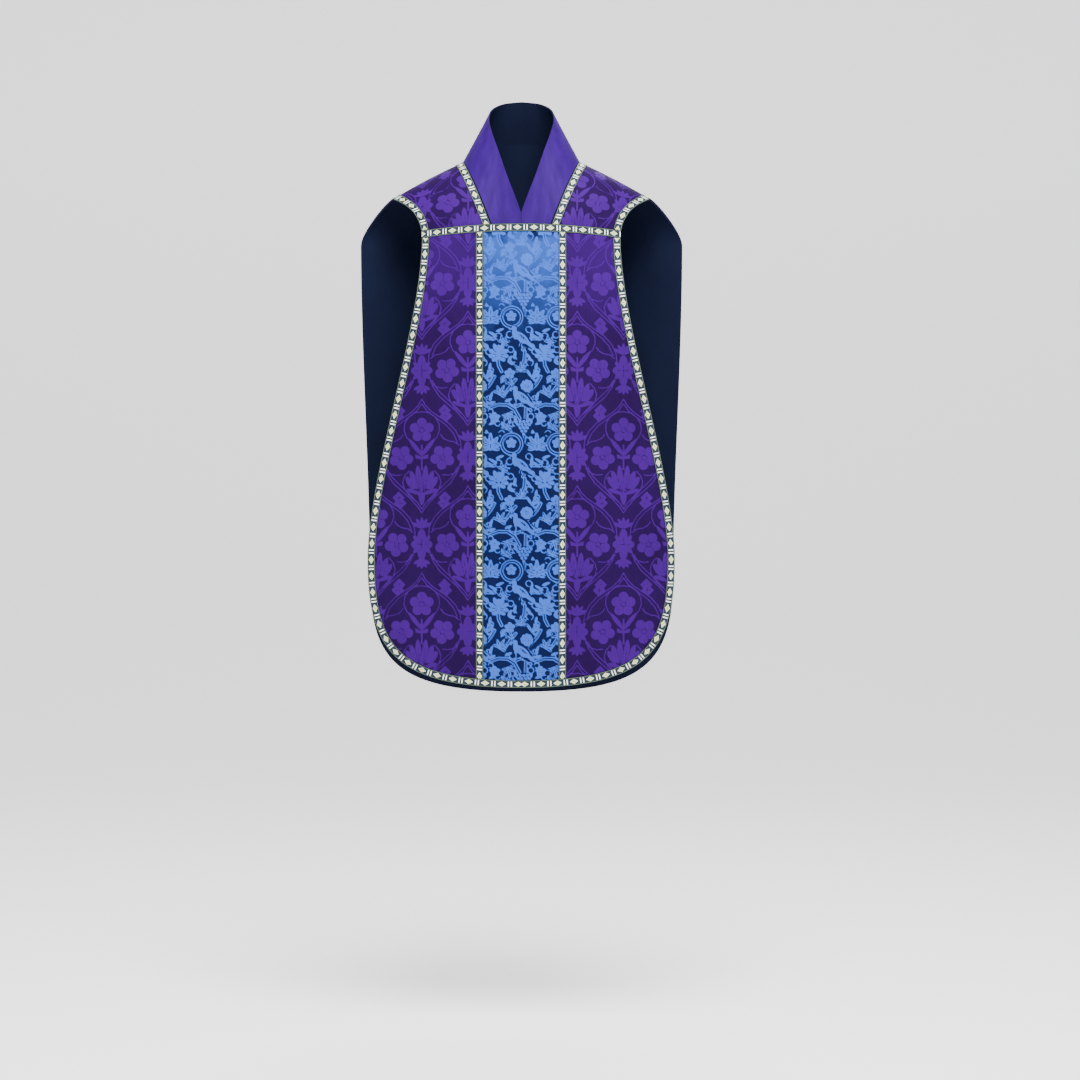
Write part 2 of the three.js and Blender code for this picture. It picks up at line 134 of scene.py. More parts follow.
def sweep_profile():
    """The sweep's side view: floor, quarter round, wall."""
    points = [(-12.0, FLOOR_Z), (WALL_Y - SWEEP_RADIUS, FLOOR_Z)]
    for step in range(1, 17):
        angle = math.radians(90 * step / 16)
        points.append((WALL_Y - SWEEP_RADIUS + SWEEP_RADIUS * math.sin(angle),
                       FLOOR_Z + SWEEP_RADIUS * (1 - math.cos(angle))))
    return points + [(WALL_Y, 9.0)]


profile = sweep_profile()
sweep_mesh = bpy.data.meshes.new("paper_sweep")
sweep_mesh.from_pydata(
    [(x, y, z) for y, z in profile for x in (-SWEEP_HALF, SWEEP_HALF)], [],
    [(2 * k, 2 * k + 1, 2 * k + 3, 2 * k + 2) for k in range(len(profile) - 1)])
for polygon in sweep_mesh.polygons:
    polygon.use_smooth = True
sweep = add_object("paper_sweep", sweep_mesh)
paper, _, shader = new_material("matt background paper")
for name, value in (("Base Color", hex_colour("e2e1e2")), ("Roughness", 0.9),
                    ("Emission Color", (1, 1, 1, 1)), ("Emission Strength", 0.8)):
    shader.inputs[name].default_value = value
sweep_mesh.materials.append(paper)
print("sweep:", len(profile), "steps")

# %% Place the lamps


def add_lamp(name, place, aim, size, power):
    """A square soft lamp, turned to face a point."""
    data = bpy.data.lights.new(name, "AREA")
    data.shape = "SQUARE"
    data.size = size
    data.energy = power
    lamp = add_object(name, data)
    lamp.location = place
    lamp.rotation_euler = (Vector(aim) - Vector(place)).to_track_quat("-Z", "Y").to_euler()


add_lamp("top_softbox", (0.3, -2.2, 2.8), (0, 0, -0.3), 2.2, 560)
add_lamp("left_fill", (-3.2, -3.0, 0.4), (0, 0, -0.6), 2.0, 40)
add_lamp("right_fill", (3.2, -2.6, 0.6), (0, 0, -0.6), 2.0, 48)
add_lamp("back_fill", (0.4, 3.0, 3.0), (0, 0, -0.5), 2.0, 130)
world = bpy.data.worlds.new("studio")
world.use_nodes = True
light = world.node_tree.nodes["Background"].inputs
light["Color"].default_value = (0.86, 0.87, 0.9, 1)
light["Strength"].default_value = 0.6
bpy.context.scene.world = world

# %% [markdown]
# ## The shape of the hanging cloth
# Every layer follows one surface, so one set of functions gives its place. They are the same as
# the plain model's: the front is full over the chest and falls almost plumb, and the back runs
# over both shoulders. A slow wave is added, because even a stiffened cloth never hangs quite flat.

# %% The surface, in millimetres
ORPHREY_HALF = 82.5
CHEST_HALF = 199
FRONT_HALF = 309
SHOULDER_HALF = 262
WING_HALF = 330
BACK_LOW_HALF = 314
NECK_HALF = 118
NECK_FRONT_HALF = 56
SEAM_Z = -150
SEAM_SAG = 10
SHOULDER_DROP = 74
BLADE_Z = -165
NAPE_RISE = 52
FRONT_LENGTH = 916
FRONT_WIDEST = 660
BACK_LENGTH = 923
BACK_STRAIGHT = 685
CHEST_DEPTH = 124
BLADE_DEPTH = 120
NAPE_DEPTH = 88
GALLOON_WIDTH = 15
NAPE_BRAID_TURN = 7
AFTER_RIDGE = 1e-6
ARMHOLE_ROUNDNESS = 2.6
WING_ROUNDNESS = 1.0
SHOULDER_BACK = 5
SHOULDER_BOW = 0.15
NAPE_ROUNDNESS = 0.6
NAPE_RISE_ROUNDNESS = 0.9
# How far a panel swells below its top, and how fast; the front is then taken back to the hem
FRONT_FULLNESS = 26
FRONT_FULLNESS_RATE = 5
FRONT_TAKEN_BACK = 12
BACK_FULLNESS = 20
BACK_FULLNESS_RATE = 4
# How strongly a panel curves round the body, at its top and at its hem, per millimetre
FRONT_CURVES = (0.00109, 0.0006)
BACK_CURVES = (0.0007, 0.00045)
# The slow waves: the depth and width of each, how soon they are full, how much of them the middle
# of a panel has, and where each panel's begin
BROAD_WAVE = (2.6, 74)
SMALL_WAVE = (1.6, 41)
WAVE_GROWTH = 1.6
MIDDLE_WAVE_SHARE = 0.4
FRONT_PHASE = 0.7
BACK_PHASE = 2.2


def smooth(share):
    """A share from 0 to 1 with soft ends."""
    share = np.clip(share, 0, 1)
    return share * share * (3 - 2 * share)


def seam_z(x):
    return SEAM_Z - SEAM_SAG * (x / CHEST_HALF) ** 2


def hang(x, down, phase):
    """The slow waves that grow towards the hem and the free sides, in millimetres."""
    broad = BROAD_WAVE[0] * np.sin(x / BROAD_WAVE[1] + phase)
    small = SMALL_WAVE[0] * np.sin(x / SMALL_WAVE[1] + 2.1 * phase + 2 * down)
    at_side = MIDDLE_WAVE_SHARE + (1 - MIDDLE_WAVE_SHARE) * np.abs(x) / FRONT_HALF
    return smooth(down * WAVE_GROWTH) * (broad + small) * at_side


def body_curve(curves, down):
    return curves[0] + (curves[1] - curves[0]) * smooth(down)


def front_depth(x, z):
    down = np.clip((SEAM_Z - z) / FRONT_LENGTH, 0, 1)
    fullness = FRONT_FULLNESS * (1 - np.exp(-FRONT_FULLNESS_RATE * down)) - FRONT_TAKEN_BACK * down
    round_body = body_curve(FRONT_CURVES, down) * x * x
    return round_body - CHEST_DEPTH - fullness - hang(x, down, FRONT_PHASE)


def back_depth(x, z):
    down = np.clip((BLADE_Z - z) / BACK_LENGTH, 0, 1)
    fullness = BACK_FULLNESS * (1 - np.exp(-BACK_FULLNESS_RATE * down))
    round_body = body_curve(BACK_CURVES, down) * x * x
    return BLADE_DEPTH + fullness - round_body + hang(x, down, BACK_PHASE)


def ridge(x):
    """The top of the shoulder: its y and z."""
    out = (np.abs(x) - NECK_HALF) / (SHOULDER_HALF - NECK_HALF)
    return SHOULDER_BACK * out, -SHOULDER_DROP * (out + SHOULDER_BOW * out * (out - 1))


def over_shoulder(x, turn):
    """The cloth over a shoulder. turn is -90 at the chest seam, 0 on top and 90 at the blades."""
    x, turn = np.broadcast_arrays(np.asarray(x, float), np.asarray(turn, float))
    angle = np.radians(np.abs(turn))
    top_y, top_z = ridge(x)
    front_y = top_y + (front_depth(x, SEAM_Z) - top_y) * np.sin(angle)
    front_z = top_z + (seam_z(x) - top_z) * (1 - np.cos(angle))
    across = np.clip(np.abs(x) / NECK_HALF, 0, 1)
    inside = 1 - across * across
    neck = across < 1
    nape_y = np.where(neck, NAPE_DEPTH * inside ** NAPE_ROUNDNESS, top_y)
    nape_z = np.where(neck, NAPE_RISE * inside ** NAPE_RISE_ROUNDNESS, top_z)
    flat = turn / 90
    fall = flat + (1 - np.cos(angle) - flat) * across ** 2
    back_y = nape_y + (back_depth(x, BLADE_Z) - nape_y) * np.sin(angle)
    back_z = nape_z + (BLADE_Z - nape_z) * fall
    front = turn <= 0
    return np.stack([x, np.where(front, front_y, back_y), np.where(front, front_z, back_z)], -1)


def neck_edge(turn):
    return NECK_FRONT_HALF + (NECK_HALF - NECK_FRONT_HALF) * np.cos(np.radians(turn))


def arm_edge(turn):
    """Half width of the shoulder piece at a turn, to the armhole in front and the wing behind."""
    sine = np.abs(np.sin(np.radians(turn)))
    armhole = (CHEST_HALF - SHOULDER_HALF) * sine ** ARMHOLE_ROUNDNESS
    wing = (WING_HALF - SHOULDER_HALF) * sine ** WING_ROUNDNESS
    return SHOULDER_HALF + np.where(np.asarray(turn) < 0, armhole, wing)


print("chest depth at the side:", round(float(front_depth(CHEST_HALF, SEAM_Z)), 1), "mm")

# %% [markdown]
# The outlines of the two panels are drawn flat, as a tailor's pattern is: one long easy curve down
# the side, then a rounded corner into the hem.

# %% The panels' outlines
CORNER_HANDLE = 0.74
HEM_HANDLE = 0.81
FRONT_HANDLES = (0.28, 0.74)
BACK_HANDLES = (0.35, 0.7)


def distances(line):
    """How far along a line, or along each column of a grid, every point is."""
    steps = np.linalg.norm(np.diff(line, axis=0), axis=-1)
    return np.concatenate([np.zeros_like(steps[:1]), np.cumsum(steps, axis=0)])


def bezier(points, count=400):
    """Points along one cubic Bezier curve."""
    a, b, c, d = (np.array(p, float) for p in points)
    t = np.linspace(0, 1, count)[:, None]
    return a * (1 - t) ** 3 + 3 * b * t * (1 - t) ** 2 + 3 * c * t * t * (1 - t) + d * t ** 3


class Outline:
    """A flat line that gives a point at any share of its length."""

    def __init__(self, *curves):
        self.points = np.concatenate([bezier(curve) for curve in curves])
        self.along = distances(self.points)
        self.length = self.along[-1]

    def at(self, share):
        where = np.asarray(share) * self.length
        return np.stack([np.interp(where, self.along, self.points[:, k]) for k in (0, 1)], -1)

    def share_at(self, half_width):
        """The share at which the rounded part has come in to a half width."""
        late = self.along > 0.5 * self.length
        x = self.points[late, 0]
        return float(np.interp(-half_width, -x, self.along[late])) / self.length


def panel_outline(top, bow, low_half, straight_z, hem_z):
    """An easy curve down the side, then a rounded corner. The handles are shares of each curve."""
    corner = (straight_z - hem_z) * CORNER_HANDLE
    return Outline(
        [top, *bow, (low_half, straight_z)],
        [(low_half, straight_z), (low_half, straight_z - corner), (low_half * HEM_HANDLE, hem_z),
         (0, hem_z)])


front_outline = panel_outline(
    (CHEST_HALF, seam_z(CHEST_HALF)),
    [(CHEST_HALF, SEAM_Z - FRONT_WIDEST * FRONT_HANDLES[0]),
     (FRONT_HALF, SEAM_Z - FRONT_WIDEST * FRONT_HANDLES[1])],
    FRONT_HALF, SEAM_Z - FRONT_WIDEST, SEAM_Z - FRONT_LENGTH)
back_outline = panel_outline(
    (WING_HALF, BLADE_Z),
    [(WING_HALF, BLADE_Z - BACK_STRAIGHT * BACK_HANDLES[0]),
     (BACK_LOW_HALF, BLADE_Z - BACK_STRAIGHT * BACK_HANDLES[1])],
    BACK_LOW_HALF, BLADE_Z - BACK_STRAIGHT, BLADE_Z - BACK_LENGTH)
print("edges:", round(front_outline.length), "and", round(back_outline.length), "mm")

# %% [markdown]
# A side of a panel lies between the straight orphrey seam and the curved outline. It is filled
# like a patch of patchwork: each point is a blend of the four edges around it.

# %% Fill a panel's parts with rows and columns
CORNER_AT = 0.85


def blend_patch(outline, top_z, down, across):
    """Flat x and z over one side of a panel, for shares down and across."""
    down, across = np.asarray(down)[:, None, None], np.asarray(across)[None, :, None]
    seam_share = outline.share_at(ORPHREY_HALF)
    corner_share = outline.share_at(outline.at(0.5)[0] * CORNER_AT)
    top_in = np.array([ORPHREY_HALF, top_z(ORPHREY_HALF)])
    top_out, corner, hem = outline.at(0), outline.at(corner_share), outline.at(seam_share)
    inner = top_in + (hem - top_in) * down
    outer = outline.at(down[..., 0] * corner_share)
    top_x = ORPHREY_HALF + (top_out[0] - ORPHREY_HALF) * across[..., 0]
    top = np.stack([top_x, top_z(top_x)], -1)
    bottom = outline.at(seam_share + (corner_share - seam_share) * across[..., 0])
    both = top_in + (top_out - top_in) * across
    both = both + (hem + (corner - hem) * across - both) * down
    return inner + (outer - inner) * across + top + (bottom - top) * down - both


def column_patch(outline, top_z, down, x):
    """Flat x and z over the middle of a panel."""
    down, x = np.asarray(down)[:, None], np.asarray(x)[None, :]
    hem_z = np.array([outline.at(outline.share_at(abs(value)))[1] for value in x[0]])[None, :]
    z = top_z(x) + (hem_z - top_z(x)) * down
    return np.stack([np.broadcast_to(x, z.shape), z], -1)


def on_panel(flat, depth):
    """Places flat points on a panel's surface."""
    return np.stack([flat[..., 0], depth(flat[..., 0], flat[..., 1]), flat[..., 1]], -1)


def count_for(length, spacing):
    return max(2, int(round(length / spacing)) + 1)


print("side patch:", blend_patch(front_outline, seam_z, [0, 1], [0, 1]).round(0).tolist())

# %% [markdown]
# ## Making a sheet
# A cloth is a fine grid on the shared surface, moved out to its own place in the stack, and given
# its thickness by a Solidify modifier. Each grid point also keeps where it lies on the flat cloth,
# in millimetres, so a woven pattern follows the cloth and not the room. Patches that meet are
# welded, so a sheet is one mesh.

# %% A sheet from patches of grid points
WELD = 0.00002
RIM_ANGLE = math.radians(50)
made = {}


def facing_out(place):
    """Whether a grid's quads, taken row by row, face away from the wearer."""
    middle = place[place.shape[0] // 2, place.shape[1] // 2]
    down = place[place.shape[0] // 2 - 1, place.shape[1] // 2]
    beside = place[place.shape[0] // 2, place.shape[1] // 2 - 1]
    normal = np.cross(middle - down, beside - middle)
    outwards = np.array([middle[0] * 0.4, middle[1] - 10, 60])
    return normal @ outwards < 0


def make_sheet(name, patches, layer, material):
    """Welds patches of place and flat grids, and perhaps a figure, into one closed sheet. layer is
    how far its two faces are from the inner face of the lining, in millimetres."""
    places, flats, figures, quads, start = [], [], [], [], 0
    for place, flat, *figure in patches:
        rows, columns = place.shape[:2]
        ids = start + np.arange(rows * columns).reshape(rows, columns)
        cells = [ids[:-1, :-1], ids[1:, :-1], ids[1:, 1:], ids[:-1, 1:]]
        cells = np.stack(cells, -1).reshape(-1, 4)
        quads.append(cells if facing_out(place) else cells[:, ::-1])
        places.append(place.reshape(-1, 3))
        flats.append(flat.reshape(-1, 2))
        figures.append(figure[0].reshape(-1) if figure else np.zeros(rows * columns))
        start += rows * columns
    mesh = bpy.data.meshes.new(name)
    mesh.from_pydata((np.concatenate(places) * MM).tolist(), [], np.concatenate(quads).tolist())
    loops = np.empty(len(mesh.loops), int)
    mesh.loops.foreach_get("vertex_index", loops)
    uv = mesh.uv_layers.new(name="flat_mm")
    uv.data.foreach_set("uv", np.concatenate(flats)[loops].ravel())
    figure = mesh.attributes.new("figure", "FLOAT", "POINT")
    figure.data.foreach_set("value", np.concatenate(figures).astype(np.float32))
    piece = add_object(name, mesh)
    bpy.ops.object.select_all(action="DESELECT")
    piece.select_set(True)
    bpy.context.view_layer.objects.active = piece
    bpy.ops.object.mode_set(mode="EDIT")
    bpy.ops.mesh.select_all(action="SELECT")
    bpy.ops.mesh.remove_doubles(threshold=WELD)
    bpy.ops.object.mode_set(mode="OBJECT")
    count = len(mesh.vertices)
    points, normals = np.empty(count * 3), np.empty(count * 3)
    mesh.vertices.foreach_get("co", points)
    mesh.vertex_normals.foreach_get("vector", normals)
    mesh.vertices.foreach_set("co", points + normals * layer[0] * MM)
    solid = piece.modifiers.new("thickness", "SOLIDIFY")
    solid.thickness = (layer[1] - layer[0]) * MM
    # Thickness goes outwards only, so layer[0] stays where the inner face is
    solid.offset = 1
    bpy.ops.object.modifier_apply(modifier=solid.name)
    bpy.ops.object.shade_smooth_by_angle(angle=RIM_ANGLE)
    mesh.materials.append(material)
    made[name] = piece
    print(name, len(mesh.polygons), "faces")
    return piece


# %% [markdown]
# ## Drawing a woven figure
# Damask has one colour of silk in the warp and one in the weft, and the loom brings one or the
# other to the face. So a damask is two areas, figure and ground. Each grid point gets its distance
# to the edge of the figure, less than nothing inside it, and the shader turns that into a crisp
# line. The figures are built from discs, rings, petals and stems that repeat by themselves.

# %% Shapes that repeat with the loom's pattern
# A distance in millimetres that is past every figure
FAR = 40.0


def ray(angle):
    """A step of one millimetre at an angle in degrees, clockwise from the right."""
    return math.cos(math.radians(angle)), math.sin(math.radians(angle))


class Weaving:
    """Distances to a figure that repeats every width and height, in millimetres of flat cloth."""

    def __init__(self, flat, width, height, phase):
        self.flat = flat - np.array(phase)
        self.size = np.array((width, height))
        self.start = np.zeros(2)
        self.near = np.full(flat.shape[:-1], FAR)

    def start_at(self, x, y):
        """Moves the point that every later place is measured from."""
        self.start = np.array((x, y))

    def beside(self, x, y):
        """How far each grid point is from the nearest repeat of a place, across and down."""
        away = self.flat - self.start - (x, y)
        away = (away + self.size / 2) % self.size - self.size / 2
        return away[..., 0], away[..., 1]

    def add(self, distance):
        self.near = np.minimum(self.near, distance)

    def cut(self, distance):
        self.near = np.maximum(self.near, -distance)

    def disc(self, x, y, radius):
        return np.hypot(*self.beside(x, y)) - radius

    def ring(self, x, y, radius, width):
        return np.abs(self.disc(x, y, radius)) - width / 2

    def petal(self, x, y, angle, length, width):
        """A petal that grows from a point at an angle."""
        c, s = ray(angle)
        du, dv = self.beside(x + c * length / 2, y + s * length / 2)
        along, across = (du * c + dv * s) / (length / 2), (dv * c - du * s) / (width / 2)
        return (np.hypot(along, across) - 1) * width / 2

    def grow(self, *petal):
        self.add(self.petal(*petal))

    def line(self, points, width):
        near = np.full(self.near.shape, FAR)
        for (x0, y0), (x1, y1) in zip(points, points[1:]):
            du, dv = self.beside((x0 + x1) / 2, (y0 + y1) / 2)
            dx, dy = (x1 - x0) / 2, (y1 - y0) / 2
            t = np.clip((du * dx + dv * dy) / max(dx * dx + dy * dy, 1e-9), -1, 1)
            near = np.minimum(near, np.hypot(du - t * dx, dv - t * dy))
        return near - width / 2

    def stems(self, points, gap=4.8, width=2.5):
        """Two thin lines side by side."""
        line = self.line(points, 0)
        self.add(np.abs(line - gap / 2) - width / 2)

    def cross(self, x, y, tips, width):
        """Cuts lines from a middle to its tips."""
        for dx, dy in tips:
            self.cut(self.line([(x, y), (x + dx, y + dy)], width))

    def clear(self, x, y, radius, width):
        """Clears a dark ring, so that what is drawn inside it next stands free."""
        self.cut(self.disc(x, y, radius + width))

    def spoke(self, x, y, angle, near, far, width):
        """Cuts a line that points away from a middle."""
        c, s = ray(angle)
        self.cut(self.line([(x + c * near, y + s * near), (x + c * far, y + s * far)], width))

    def rosette(self, x, y, radius, petals=5, turn=-90):
        """A flower with a dark line round its heart and between its petals."""
        for k in range(petals):
            c, s = ray(turn + 360 * k / petals)
            self.add(self.disc(x + c * radius * 0.6, y + s * radius * 0.6, radius * 0.4))
        self.add(self.disc(x, y, radius * 0.5))
        for k in range(petals):
            self.spoke(x, y, turn + 360 * (k + 0.5) / petals, radius * 0.3, radius, radius * 0.045)
        self.cut(self.ring(x, y, radius * 0.2, radius * 0.06))

    def leaf(self, x, y, angle, size, lobes=5):
        """A lobed vine leaf with a vein down each lobe."""
        middle = (lobes - 1) / 2
        turns = [(k - middle) * 240 / lobes for k in range(lobes)]
        for k, turn in enumerate(turns):
            reach = size * (1 - 0.12 * abs(k - middle))
            self.grow(x, y, angle + turn, reach, size * (0.24 + 0.5 / lobes))
        self.add(self.disc(x, y, size * 0.2))
        for turn in turns:
            self.spoke(x, y, angle + turn, size * 0.22, size * 0.7, 1.5)


print("weaving shapes ready")

# %% [markdown]
# The purple silk has large ogees, pointed at both ends: in each a rosette over two rosettes, and a
# palmette below. Thin double lines frame them, and the rows are half-dropped.

# %% The purple silk's figure
OGEE_WIDTH = 186
OGEE_HEIGHT = 350
# Lines on both sides of an ogee's middle: the width, then the points from the middle
OGEE_LINES = (
    (2.3, [(0, -118), (8, -104), (20, -92), (36, -81), (54, -69), (69, -53), (78, -34), (80, -14),
           (78, 10), (71, 32), (58, 52), (40, 68), (22, 84), (8, 100), (0, 112)]),
    (2.2, [(0, -108), (10, -94), (30, -79), (50, -64), (64, -48), (72, -30)]),
    (2.2, [(72, 20), (62, 38), (44, 56), (24, 74), (8, 92), (0, 104)]),
    (2.3, [(0, -92), (14, -90), (27, -81), (35, -68), (36, -54), (31, -41), (22, -31)]),
    (2.3, [(75, -24), (66, -31), (54, -33), (44, -38), (38, -46)]),
    (2.3, [(26, 27), (35, 37), (39, 50), (35, 64), (26, 76), (12, 88)]),
    (2.3, [(76, 22), (66, 32), (54, 36), (42, 35)]))
FLOWER_CROSS = ((0, 5), (5, 0), (0, -5), (-5, 0))
STAR_CROSS = ((0, 12), (12, 0), (0, -12), (-12, 0))
ROSETTES = ((0, -55, -90), (-42, 0, -60), (42, 0, -120))
ROSETTE_RADIUS = 25


def small_flower(cloth, x, y):
    """A square flower of four petals with a cross in it, set on its corner."""
    du, dv = cloth.beside(x, y)
    cloth.add((np.abs(du) + np.abs(dv) - 13) * 0.7)
    cloth.cross(x, y, FLOWER_CROSS, 1.1)


def palmette(cloth):
    """The fan of long petals in the lower half of an ogee."""
    for side in (-1, 1):
        cloth.grow(0, -4, -90 + side * 38, 42, 9)
        cloth.grow(0, 2, -90 + side * 72, 28, 8)
        for k in range(3):
            cloth.grow(side * (5 + 5 * k), 64, -90 + side * (4 + 15 * k), 48 - 9 * k, 12)
        cloth.grow(side * 3, 74, -90 + side * 70, 30, 8)
        small_flower(cloth, side * 46, -94)
        small_flower(cloth, side * 44, 92)
    cloth.add(cloth.line([(0, -30), (0, 24)], 3.4))
    cloth.grow(0, 52, 90, 44, 13)
    for x in (-14, -7, 7, 14):
        cloth.cut(cloth.line([(x, 34), (x * 0.3, 70)], 1.2))


def star(cloth, x):
    """The eight-pointed flower between two ogees, with a tuft above and below."""
    for k in range(4):
        cloth.grow(x, 0, 90 * k, 22 if k % 2 == 0 else 31, 17)
        cloth.grow(x, 0, 90 * k + 45, 24, 9)
    for turn in (-62, -31, 0, 31, 62):
        cloth.grow(x, 30, 90 + turn, 19, 7)
        cloth.grow(x, -33, -90 + turn, 22, 7)
    cloth.cross(x, 0, STAR_CROSS, 1.4)


def purple_figure(flat, phase):
    cloth = Weaving(flat, OGEE_WIDTH, OGEE_HEIGHT, phase)
    for drop in (0, 0.5):
        cloth.start_at(drop * OGEE_WIDTH, drop * OGEE_HEIGHT)
        for width, points in OGEE_LINES:
            for side in (-1, 1):
                cloth.add(cloth.line([(side * x, y) for x, y in points], width))
        palmette(cloth)
        for x, y, turn in ROSETTES:
            cloth.clear(x, y, ROSETTE_RADIUS, 4)
            cloth.rosette(x, y, ROSETTE_RADIUS, turn=turn)
        star(cloth, OGEE_WIDTH / 2)
    return cloth.near


print("ogee repeat:", OGEE_WIDTH, "by", OGEE_HEIGHT, "mm")

# %% [markdown]
# The blue silk of the orphrey is a vine with leaves, grapes, flowers and small birds. It is lively
# and close, about twice as many figures to the hand as the purple, with a bright figure.

# %% The blue silk's figure
VINE_WIDTH = 92
VINE_HEIGHT = 254
VINE_STEMS = (
    [(94, -46), (93, -12), (91, 20), (80, 44), (66, 50)],
    [(88, 92), (97, 78), (106, 70), (124, 70)], [(50, 184), (60, 170), (74, 152)],
    [(92, 96), (91, 114), (86, 124)], [(24, 208), (40, 202), (58, 203), (72, 212), (82, 230)],
    [(104, 214), (96, 204), (84, 202), (74, 206)], [(0, 182), (12, 174), (24, 160), (32, 146)],
    [(38, 110), (40, 124), (46, 136)])
# Each tendril's middle, radius and the angle it starts at
VINE_CURLS = (
    (8, 8, 7, 40), (46, 6, 6, 200), (8, 52, 6, 90), (40, 66, 7, 180), (20, 96, 6, 0),
    (64, 92, 6, 220), (70, 112, 6, 60), (10, 118, 7, 120), (24, 134, 6, 250), (50, 150, 6, 20),
    (20, 190, 6, 100), (68, 196, 7, 300), (8, 240, 6, 150), (74, 240, 6, 80), (38, 240, 5, 10),
    (24, 216, 5, 190))
# Each loose leaf's root, angle and length
VINE_PETALS = (
    (12, 70, -80, 20), (4, 74, -30, 18), (30, 74, -140, 18), (20, 56, 30, 20), (34, 56, -20, 18),
    (74, 94, 100, 18), (4, 100, 60, 18), (58, 118, -60, 16), (72, 122, 200, 14),
    (24, 118, 100, 16), (4, 132, 60, 18), (12, 150, -30, 20), (44, 160, -60, 18),
    (28, 176, 110, 20), (74, 176, 200, 14), (34, 196, 160, 16), (52, 196, -20, 16),
    (8, 212, -50, 20), (72, 224, 80, 18), (20, 242, -20, 16), (46, 236, 70, 16), (6, 248, 40, 18))


def bird(cloth, x, y):
    """A perched bird in a dark space: body, head, beak, wing lines, tail and legs."""
    cloth.cut(cloth.petal(x - 19, y - 20, 46, 58, 22))
    cloth.grow(x - 13, y - 9, 38, 36, 16)
    cloth.grow(x - 13, y - 16, 82, 22, 11)
    cloth.add(cloth.disc(x - 13, y - 16, 5))
    cloth.grow(x - 14, y - 16, 174, 10, 3.6)
    cloth.grow(x + 6, y + 5, 42, 27, 8)
    for k in range(3):
        cloth.cross(x - 4 + 3 * k, y - 5 + 3.6 * k, [(10, 6)], 1.2)
    for k in (0, 5):
        cloth.add(cloth.line([(x + k, y + 9), (x + k - 4, y + 20)], 2))


def curled(cloth, x, y, radius, start):
    """A curling tendril, as most of a ring."""
    turns = [ray(start + 300 * k / 9) for k in range(10)]
    cloth.add(cloth.line([(x + radius * c, y + radius * s) for c, s in turns], 2.4))


def palm(cloth, x, y):
    """A fan of pointed petals with a vein down three on each side."""
    for side in (-1, 1):
        for k in range(4):
            cloth.grow(x, y, -90 + side * (22 + 36 * k), 26 - 3 * k, 10)
        for k in range(3):
            cloth.spoke(x, y, -90 + side * (40 + 36 * k), 0, 17, 1.4)
    cloth.grow(x, y + 2, -90, 24, 9)


def grapes(cloth, x, y):
    """A bunch of fifteen grapes in a dark space, narrowing downwards."""
    cloth.cut(cloth.disc(x, y, 17))
    for row in range(5):
        for k in range(5 - row):
            cloth.add(cloth.disc(x + (k - (4 - row) / 2) * 7.4, y - 12 + row * 6.4, 3.1))


def blue_figure(flat, phase):
    cloth = Weaving(flat, VINE_WIDTH, VINE_HEIGHT, phase)
    for points in VINE_STEMS:
        cloth.stems(points)
    for curl in VINE_CURLS:
        curled(cloth, *curl)
    cloth.clear(66, 27, 22, 4)
    cloth.add(cloth.ring(66, 27, 22, 2.5))
    cloth.add(cloth.ring(66, 27, 17, 2.4))
    cloth.rosette(65, 25, 11)
    cloth.leaf(24, 34, -90, 30, 7)
    cloth.leaf(24, 24, 90, 16, 3)
    cloth.leaf(49, 78, -60, 17, 5)
    cloth.add(cloth.ring(62, 62, 6.5, 2.6))
    for petal in VINE_PETALS:
        cloth.grow(*petal, 6)
    cloth.clear(13, 87, 6, 2)
    cloth.add(cloth.ring(13, 87, 6, 3.2))
    cloth.add(cloth.disc(13, 87, 2))
    palm(cloth, 40, 104)
    cloth.leaf(84, 134, -90, 18, 5)
    cloth.rosette(62, 140, 11)
    cloth.add(np.abs(cloth.petal(20, 154, -80, 20, 11)) - 1.3)
    cloth.leaf(66, 156, 160, 14, 3)
    cloth.clear(4, 165, 13, 2)
    cloth.rosette(4, 165, 13, 9)
    for leaf in ((42, 180, -60, 20, 5), (12, 196, -110, 14, 5), (58, 222, 70, 19, 5)):
        cloth.leaf(*leaf)
    cloth.rosette(32, 228, 11)
    cloth.add(cloth.ring(12, 226, 6, 2.6))
    cloth.leaf(56, 250, -70, 17, 5)
    grapes(cloth, 90, 248)
    bird(cloth, 84, 66)
    bird(cloth, 86, 186)
    return cloth.near


print("vine repeat:", VINE_WIDTH, "by", VINE_HEIGHT, "mm")
